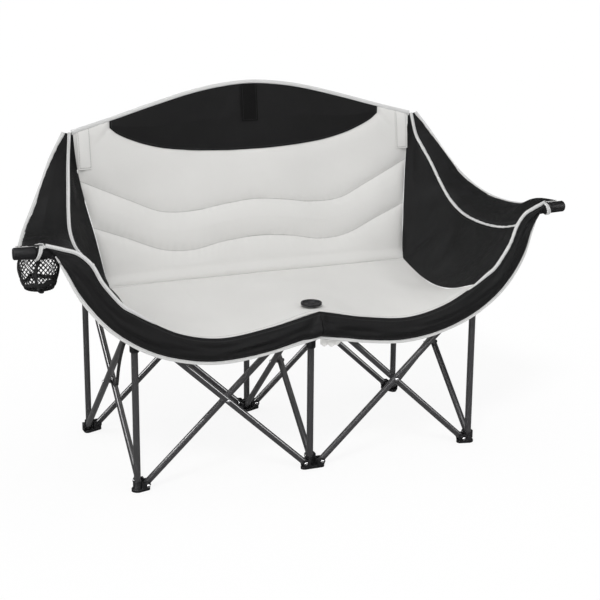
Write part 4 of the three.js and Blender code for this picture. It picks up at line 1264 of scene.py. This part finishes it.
def arm_end_cord(side, towards, sizes):
    """The twisted end of the armrest's tape, which is tied over the arm."""
    inner, outer = cap_line(side)
    along = units(outer - inner)
    tip = np.array(ARMREST_TIP)
    top = inner + along * (RING_IN - RING_SLANT) + (ARM_SLEEVE + RING_ROOM + 0.001) * UP
    cord = Run([
        tip - 0.001, tip + [-0.016, -0.008, 0.0014], mix(tip, top, 0.62) - [0, 0, 0.0012],
        top + [0.004, 0.002, 0.0016], top + [-0.003, -0.004, 0.001],
        top + [-0.005, -0.012, -0.005],
    ])
    spin = np.linspace(0, CORD_TURNS * 2 * math.pi, 80)
    inward = np.stack([0.2 * np.cos(spin), np.cos(spin), np.sin(spin)], -1)
    piece = binding(f"arm_end_cord_{side}", cord(np.linspace(0, 1, 80)), inward, sizes, towards)
    fold_wing(piece, side)


def arm_path():
    """The middle of the arm's bent tube, from its straight part to the cap, right-hand side."""
    foot, top = np.array(ARM_PIVOT), np.array(HUB_PIVOT)
    foot[1] = top[1] = ARM_PLANE
    up = units(top - foot)
    level = units(np.array([1.0, ARM_TAIL_SLOPE, 0.0]))
    start, end = top + up * ARM_STRAIGHT, np.array(ARM_END)
    t = np.linspace(0, 1, 40)[:, None]
    line = (1 - t) ** 3 * start + 3 * t * (1 - t) ** 2 * (start + up * ARM_BEND_IN)
    line = line + 3 * t**2 * (1 - t) * (end - level * ARM_BEND_OUT) + t**3 * end
    return Run(np.concatenate([line, [end + level * (RING_IN + 0.001)]]), steps=4)


def arm_sleeve(side, towards):
    """The black cloth that the band and the armrest wrap round the arm."""
    path = arm_path()
    u, v = grid(41, 61)
    angle = u * 2 * math.pi
    share = mix(SLEEVE_START, 1, v)
    middle = path(share)
    along = units(np.gradient(middle, axis=0))
    across = units(np.cross(along, UP))
    wrinkles = ARM_WRINKLE * ripple(share * path.length, angle * 0.012, 0.024, 61)
    radius = mix(TUBE_RADIUS + SLEEVE_ROOM, ARM_SLEEVE - SLEEVE_ROOM,
                 np.clip((share - SLEEVE_WIDENS) / 0.08, 0, 1)) + np.abs(wrinkles)
    wall = middle - along * (RING_SLANT * np.sin(angle) * v**8)[..., None]
    wall = wall + radius[..., None] * round_line(angle, across, np.cross(across, along))
    name = f"arm_sleeve_{side}"
    mesh = shell_mesh(name, mirrored(wall, towards), ARM_SLEEVE_SKIN, ARM_SLEEVE_SKIN, UP,
                      (share, v * 0.06 - 0.05))
    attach(finished(name, mesh, "black woven cloth"), f"arm_{side}")


# Cup holder, loose strap and lining

CUP_SHARES = [
    (0, 0.7), (0.1, 0.77), (0.25, 0.87), (0.45, 0.97), (0.62, 1), (0.8, 0.95), (1, 0.8),
]

# The net's foot, the band and the strap round it; straps are as wide and thick as given
CUP_DIP = 0.004
CUP_INSET = 0.002
CUP_BAND_SHARE = 0.15
CUP_BAND_HEIGHT = 0.009
CUP_BAND_ROOM = 0.0014
CUP_STRAP_ROOM = 0.0018
CUP_STRAP = (0.0075, 0.0018)
KNOT_TAPE = (0.0034, 0.0028)
LOOSE_STRAP = (0.0085, 0.0017)
STRAP_SHORT = 0.028

# The lining: its two sides, how far it hangs out and stands back, and the hem's first points
LINING_SIDES = (0.004, 0.07)
LINING_DROP = 0.026
LINING_BEHIND = 0.006
LINING_SKIN = 0.0005
HEM_OUTWARD_STEPS = 400


def cup_profile(share):
    """Radius of the net at a share of its height."""
    low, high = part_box("cup_net")
    return (high.x - low.x) / 2 * eased(CUP_SHARES, share)


def round_cup(radius, angle, z):
    """Points round the cup's upright middle line."""
    middle = centre("cup_net")
    x, y = middle.x + radius * np.cos(angle), middle.y + radius * np.sin(angle)
    return np.stack(np.broadcast_arrays(x, y, z), -1)


def cup_holder(sizes):
    """The knotted net: a quad mesh of its diamonds, turned into strands."""
    low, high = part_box("cup_net")
    cells = sizes.net_cells
    rows = 2 * round((high.z - low.z) / (math.pi * (high.x - low.x) / cells))
    base = float(cup_profile(0.0))
    rings = [(base * share, low.z + CUP_INSET - CUP_DIP * (1 - share**2))
             for share in np.linspace(0.12, 0.86, 6)]
    rings += [(float(cup_profile(share)), mix(low.z + CUP_INSET, high.z - CUP_INSET, share))
              for share in np.linspace(0, 1, rows + 1)]
    step = np.arange(cells)
    places = np.concatenate([
        round_cup(radius, (step + 0.5 * (row % 2)) * 2 * math.pi / cells, z)
        for row, (radius, z) in enumerate(rings)
    ])
    faces = []
    for row in range(len(rings) - 2):
        for k in range(cells):
            ahead = (k + row % 2) % cells
            behind = (k - 1 + row % 2) % cells
            faces.append((row * cells + k, (row + 1) * cells + ahead,
                          (row + 2) * cells + k, (row + 1) * cells + behind))
    mesh = bpy.data.meshes.new("cup_net_strands")
    mesh.from_pydata(places.tolist(), [], faces)
    piece = finished("cup_net_strands", mesh, "net cord")
    strands = piece.modifiers.new("strands", "WIREFRAME")
    strands.thickness = sizes.net_strand
    strands.use_even_offset = False
    bpy.ops.object.modifier_apply(modifier=strands.name)
    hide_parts("cup_net")
    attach(piece, "arm_left")


def cup_bands():
    """The band that gathers the net near its foot, the strap over the net and the knot."""
    low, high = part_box("cup_net")
    u, v = grid(121, 9)
    angle = u * 2 * math.pi
    uneven = ripple(np.cos(angle), np.sin(angle), 1.3, 51)
    height = v * (CUP_BAND_HEIGHT + 0.002 * uneven) + 0.003 * uneven
    share = CUP_BAND_SHARE + height / (high.z - low.z)
    radius = cup_profile(share) + CUP_BAND_ROOM
    wall = round_cup(radius, angle, mix(low.z, high.z, share))
    gathers = 0.0008 * np.sin(23 * angle + 2 * uneven) * np.sin(math.pi * v)
    thick = 0.0012 + 0.0016 * np.sin(math.pi * v) ** 0.5 + gathers
    mesh = shell_mesh("cup_base_band", wall, 0.0007, thick, AS_WOUND,
                      (radius * angle, v * 0.02 - 0.003))
    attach(finished("cup_base_band", mesh, "black webbing"), "arm_left")
    share = np.linspace(0, 1, 30)
    bend = -1.79 - 0.22 * np.sin(math.pi * share) + 0.12 * share
    line = round_cup(cup_profile(share) + CUP_STRAP_ROOM, bend,
                     mix(low.z + CUP_INSET, high.z + 0.001, share))
    inward = np.stack([-np.sin(bend), np.cos(bend), share * 0], -1)
    webbing("cup_strap", line, inward, *CUP_STRAP)
    middle = centre("cup_net")
    front = middle.y - float(cup_profile(0.0)) - 0.0035
    turn = np.linspace(0, 1, 60)
    spin = 4 * math.pi * turn
    bow = np.array([middle.x - 0.0045, front, low.z + 0.007]) + np.stack([
        0.006 * np.cos(spin), 0.0022 * np.sin(2 * spin), 0.0055 * np.sin(spin) - 0.003 * turn], -1)
    webbing("cup_knot", bow, np.stack([np.sin(spin), np.cos(spin), turn * 0], -1), *KNOT_TAPE)


def hanging_strap():
    low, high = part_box("hanging_strap")
    v = np.linspace(0, 1, 30)
    x = mix(high.x - 0.005, low.x + 0.005, v)
    x = x - 0.15 * (high.x - low.x - 0.009) * np.sin(math.pi * v)
    y = (low.y + high.y) / 2 + 0.0015 * np.sin(5 * v)
    line = np.stack([x, y, mix(high.z, low.z + STRAP_SHORT, v)], -1)
    piece = webbing("loose_strap", line, np.tile([1.0, 0.15, 0.0], (30, 1)), *LOOSE_STRAP)
    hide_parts("hanging_strap")


def hem_lining():
    """The end of the seat's pale lining, which hangs out under the hem beside the middle leg."""
    u, v = grid(41, 13)
    x = mix(*LINING_SIDES, u)
    hem = HEM.points[:HEM_OUTWARD_STEPS]
    front, top = (np.interp(x, hem[:, 0], hem[:, k]) for k in (1, 2))
    drop = LINING_DROP * (1 - 0.6 * u**2) * (1 + 0.12 * ripple(x, x * 0, 0.02, 71))
    wave = 0.0022 * ripple(x, v * 0.012, 0.018, 72) * v
    wall = np.stack([x, front + LINING_BEHIND + wave, top + 0.001 - drop * v], -1)
    mesh = shell_mesh("seat_lining_end", wall, LINING_SKIN, LINING_SKIN, FORWARD,
                      (x, v * 0.01 - 0.02))
    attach(finished("seat_lining_end", mesh, "grey padded cloth"),
            "front_centre_hub")


# Frame parts and rivets

WELD_DISTANCE = 0.00002
EDGE_ROUNDING = 0.0006
FRAME_SHARP = math.radians(38)
RIVET_RADIUS = 0.0044
RIVET_HEIGHT = 0.002
BRACKET_FACE = TUBE_RADIUS + 0.0005 + 0.003
CROSSING_FACE = TUBE_RADIUS + 0.00035 + 0.009
BRACKETED = ("_post", "_hub", "_leg")


def rivet_head():
    """One bright domed head, its flat side on the origin and its crown along +Z."""
    bpy.ops.object.select_all(action="DESELECT")
    bpy.ops.mesh.primitive_uv_sphere_add(segments=16, ring_count=10, radius=RIVET_RADIUS)
    head = bpy.context.object
    bpy.ops.object.mode_set(mode="EDIT")
    bpy.ops.mesh.select_all(action="SELECT")
    bpy.ops.mesh.bisect(plane_co=(0, 0, 0), plane_no=(0, 0, 1), use_fill=True, clear_inner=True)
    bpy.ops.mesh.select_all(action="SELECT")
    bpy.ops.transform.resize(value=(1, 1, RIVET_HEIGHT / RIVET_RADIUS))
    bpy.ops.object.mode_set(mode="OBJECT")
    bpy.ops.object.transform_apply(location=True, rotation=True, scale=True)
    return head


def rivet_places():
    """For each body, its rivets' middles and axes, and how far from the middle their heads sit."""
    places = {}
    for joint in frame["joints"]:
        if joint["name"].startswith("seat"):
            continue
        axis, place = Vector(joint["axis"]), Vector(joint["pos_m"])
        parent, child = joint["parent"], joint["child"]
        if joint["name"].endswith("crossing"):
            body, reach = child, CROSSING_FACE
        else:
            tubes = [f"tube_{end}" for end in (parent, child) if f"tube_{end}" in frame["nodes"]]
            if len(tubes) == 1:
                place = place + axis * (centre(tubes[0]).dot(axis) - place.dot(axis))
            on_parent = parent.endswith(BRACKETED) and not child.endswith(BRACKETED)
            body, reach = parent if on_parent else child, BRACKET_FACE
        places.setdefault(body, []).append((place, axis, reach))
    return places


def add_rivet(shape, head, place, way, reach):
    """Copies the head into the shape, reach metres from place along way."""
    turn = way.to_track_quat("Z", "Y").to_matrix().to_4x4()
    copy = head.data.copy()
    copy.transform(Matrix.Translation(place + way * reach) @ turn)
    shape.from_mesh(copy)
    bpy.data.meshes.remove(copy)


# Stage

PICTURE_WIDTH = 600
SENSOR_WIDTH = 36.0
FLOOR_SIZE = 60
FLOOR_COLOUR = (0.95, 0.95, 0.95)
WHITE = (1, 1, 1, 1)
KEY_SPREAD = math.radians(14)
KEY_TURN = (math.radians(38), math.radians(-14), math.radians(-18))

# What camera and glossy rays see of the floor: its share and its strength
FLOOR_GLOW = (("Is Camera Ray", 0.87, 1.0), ("Is Glossy Ray", 0.92, 0.1))

# The lamps that gloss mirrors: their way, how narrow they are and their strength
SOFTBOXES = (
    ((-0.75, -0.62, 0.22), 0.955, 20.0), ((0.8, -0.55, 0.3), 0.965, 14.0),
    ((-0.15, -0.3, 0.94), 0.85, 1.8), ((0.1, -0.95, 0.35), 0.975, 9.0),
    ((-0.6, 0.1, 0.78), 0.955, 21.0),
)
STUDIO_DIM = 0.08


def add_camera(stage):
    camera = bpy.data.cameras.new("camera")
    camera.sensor_width = SENSOR_WIDTH
    camera.lens = stage.focal_pixels / PICTURE_WIDTH * SENSOR_WIDTH
    camera.clip_end = FLOOR_SIZE
    holder = bpy.data.objects.new("camera", camera)
    bpy.context.scene.collection.objects.link(holder)
    turn, down, roll = stage.camera_turn, stage.camera_down, stage.camera_roll
    look = Vector((math.sin(turn) * math.cos(down), math.cos(turn) * math.cos(down),
                   -math.sin(down)))
    right = Vector((math.cos(turn), -math.sin(turn), 0))
    up = right.cross(look)
    rolled_right = right * math.cos(roll) + up * math.sin(roll)
    rolled_up = up * math.cos(roll) - right * math.sin(roll)
    axes = Matrix((rolled_right, rolled_up, -look)).transposed().to_4x4()
    axes.translation = Vector(stage.camera_place)
    holder.matrix_world = axes
    bpy.context.scene.camera = holder


def add_floor():
    bpy.ops.object.select_all(action="DESELECT")
    bpy.ops.mesh.primitive_plane_add(size=FLOOR_SIZE)
    floor = bpy.context.object
    floor.name = "floor"
    finish = Finish("pale floor", FLOOR_COLOUR, 0.95, specular=0.0)
    surface = finish.shader.outputs[0]
    for ray, share, strength in FLOOR_GLOW:
        seen = finish.add("ShaderNodeLightPath").outputs[ray]
        glow = finish.add("ShaderNodeEmission", Strength=strength)
        surface = finish.blend(finish.sum("MULTIPLY", seen, share), surface, glow.outputs[0])
    finish.join(surface, finish.tree.nodes["Material Output"].inputs["Surface"])
    floor.data.materials.append(finish.material)


def softboxes(nodes):
    """What gloss mirrors: a dim studio with a few bright, soft lamps round it."""
    place = nodes.add("ShaderNodeTexCoord").outputs["Generated"]
    total = STUDIO_DIM
    for way, narrow, bright in SOFTBOXES:
        facing = nodes.add("ShaderNodeVectorMath", operation="DOT_PRODUCT")
        nodes.join(place, facing.inputs[0])
        facing.inputs[1].default_value = Vector(way).normalized()
        lamp = nodes.spread(facing.outputs["Value"], narrow, 1.0, 0.0, bright)
        total = nodes.sum("ADD", lamp, total)
    backdrop = nodes.add("ShaderNodeBackground")
    nodes.join(total, backdrop.inputs["Strength"])
    return backdrop.outputs[0]


def add_lights(stage):
    world = bpy.data.worlds.new("studio")
    bpy.context.scene.world = world
    world.use_nodes = True
    nodes = Nodes(world.node_tree)
    sky = nodes.tree.nodes["Background"]
    sky.inputs["Color"].default_value = WHITE
    sky.inputs["Strength"].default_value = stage.sky
    white = nodes.add("ShaderNodeBackground", Color=WHITE, Strength=1.0)
    rays = nodes.add("ShaderNodeLightPath").outputs
    light = nodes.blend(rays["Is Glossy Ray"], sky.outputs[0], softboxes(nodes))
    light = nodes.blend(rays["Is Camera Ray"], light, white.outputs[0])
    nodes.join(light, nodes.tree.nodes["World Output"].inputs["Surface"])
    lamp = bpy.data.lights.new("key", "SUN")
    lamp.energy = stage.key
    lamp.angle = KEY_SPREAD
    holder = bpy.data.objects.new("key", lamp)
    bpy.context.scene.collection.objects.link(holder)
    holder.rotation_euler = KEY_TURN


# Steps

class LOVESEAT_OT_stage(bpy.types.Operator):
    """Adds the camera, the floor and the lights"""

    bl_idname = "loveseat.stage"
    bl_label = "Stage"

    def execute(self, context):
        stage = context.scene.loveseat_stage
        add_camera(stage)
        add_floor()
        add_lights(stage)
        context.scene.view_settings.view_transform = "Standard"
        return {"FINISHED"}


class LOVESEAT_OT_frame_finish(bpy.types.Operator):
    """Gives the frame's own parts their finishes and softens their edges"""

    bl_idname = "loveseat.frame_finish"
    bl_label = "Frame finish"

    def execute(self, context):
        for name, node in frame["nodes"].items():
            tube = name.startswith(("leg_", "post_", "tube_", "arm_tube"))
            finish = "graphite powder coat" if tube else "moulded black plastic"
            node.data.materials.clear()
            node.data.materials.append(materials()[finish])
            node.data.shade_smooth()
            weld = node.modifiers.new("weld", "WELD")
            weld.merge_threshold = WELD_DISTANCE
            if not tube:
                soften = node.modifiers.new("soften", "BEVEL")
                soften.width = EDGE_ROUNDING
                soften.segments = 2
                soften.limit_method = "ANGLE"
                soften.angle_limit = FRAME_SHARP
            split = node.modifiers.new("split", "EDGE_SPLIT")
            split.split_angle = FRAME_SHARP
        return {"FINISHED"}


class LOVESEAT_OT_rivets(bpy.types.Operator):
    """Adds the bright rivet heads at the pivots"""

    bl_idname = "loveseat.rivets"
    bl_label = "Rivets"

    def execute(self, context):
        head = rivet_head()
        for body, spots in rivet_places().items():
            shape = bmesh.new()
            for place, axis, reach in spots:
                for way in (-1, 1):
                    add_rivet(shape, head, place, axis * way, reach)
            mesh = bpy.data.meshes.new(f"rivets_{body}")
            shape.to_mesh(mesh)
            shape.free()
            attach(finished(f"rivets_{body}", mesh, "bright rivet steel"), body)
        bpy.data.objects.remove(head)
        return {"FINISHED"}


class LOVESEAT_OT_back(bpy.types.Operator):
    """Builds the quilted back, its black panel, pockets and binding"""

    bl_idname = "loveseat.back"
    bl_label = "Back"

    def execute(self, context):
        sizes = context.scene.loveseat_sizes
        back_panel(sizes)
        back_yoke(sizes)
        back_binding(sizes)
        for pocket in POCKETS:
            back_pocket(sizes, *pocket)
        for side, x in (("left", -BAY), ("centre", 0.0), ("right", BAY)):
            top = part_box(f"post_rear_{side}")[1].z + 0.002
            post_sleeve(f"post_sleeve_{side}", x, top, f"rear_{side}_post")
        return {"FINISHED"}


class LOVESEAT_OT_seat(bpy.types.Operator):
    """Builds the seat's padded cloth in its folding pieces"""

    bl_idname = "loveseat.seat"
    bl_label = "Seat"

    def execute(self, context):
        sizes = context.scene.loveseat_sizes
        for side, towards in SIDES:
            for part, low, high in (("inner", SEAT_STRIP, SEAT_RIDGE),
                                    ("outer", SEAT_RIDGE, None)):
                seat_piece(f"seat_cushion_{part}_{side}", low, high, towards,
                           f"seat_{side}_{part}", f"seat_{part}_{side}", sizes)
        seat_piece("seat_cushion_centre", -SEAT_STRIP, SEAT_STRIP, 1.0, "front_centre_hub",
                   "seat_centre", sizes, columns=17)
        return {"FINISHED"}


class LOVESEAT_OT_band(bpy.types.Operator):
    """Builds the black front band and the arms' sleeves, with their bindings"""

    bl_idname = "loveseat.band"
    bl_label = "Front band"

    def execute(self, context):
        sizes = context.scene.loveseat_sizes
        for side, towards in SIDES:
            band_piece(side, towards)
            band_bindings(side, towards, sizes)
            arm_end_binding(side, towards, sizes)
            arm_sleeve(side, towards)
            arm_end_cord(side, towards, sizes)
        return {"FINISHED"}


class LOVESEAT_OT_wings(bpy.types.Operator):
    """Builds the two wings with their armrests and bindings"""

    bl_idname = "loveseat.wings"
    bl_label = "Wings"

    def execute(self, context):
        for side, towards in SIDES:
            wing_piece(side, towards)
            wing_bindings(side, towards, context.scene.loveseat_sizes)
        return {"FINISHED"}


class LOVESEAT_OT_extras(bpy.types.Operator):
    """Builds the net cup holder, the loose strap and the end of the seat's lining"""

    bl_idname = "loveseat.extras"
    bl_label = "Cup holder and strap"

    def execute(self, context):
        cup_holder(context.scene.loveseat_sizes)
        cup_bands()
        hanging_strap()
        hem_lining()
        return {"FINISHED"}


STEPS = ("stage", "frame_finish", "rivets", "back", "seat", "band", "wings", "extras")


class LOVESEAT_PT_panel(bpy.types.Panel):
    """Lists the steps that build the loveseat"""

    bl_label = "Loveseat"
    bl_idname = "LOVESEAT_PT_panel"
    bl_space_type = "VIEW_3D"
    bl_region_type = "UI"
    bl_category = "Loveseat"

    def draw(self, context):
        for step in STEPS:
            self.layout.operator(f"loveseat.{step}")
        for group in ("loveseat_sizes", "loveseat_colours", "loveseat_stage"):
            values = getattr(context.scene, group)
            box = self.layout.box()
            for key in values.__annotations__:
                box.prop(values, key)


CLASSES = (
    LoveseatSizes, LoveseatColours, LoveseatStage, LOVESEAT_OT_stage, LOVESEAT_OT_frame_finish,
    LOVESEAT_OT_rivets, LOVESEAT_OT_back, LOVESEAT_OT_seat, LOVESEAT_OT_band,
    LOVESEAT_OT_wings, LOVESEAT_OT_extras, LOVESEAT_PT_panel,
)


def register():
    for kind in CLASSES:
        bpy.utils.register_class(kind)
    bpy.types.Scene.loveseat_sizes = PointerProperty(type=LoveseatSizes)
    bpy.types.Scene.loveseat_colours = PointerProperty(type=LoveseatColours)
    bpy.types.Scene.loveseat_stage = PointerProperty(type=LoveseatStage)


def unregister():
    for group in ("loveseat_sizes", "loveseat_colours", "loveseat_stage"):
        delattr(bpy.types.Scene, group)
    for kind in reversed(CLASSES):
        bpy.utils.unregister_class(kind)


def main():
    register()
    for step in STEPS:
        getattr(bpy.ops.loveseat, step)()


if __name__ == "__main__":
    main()
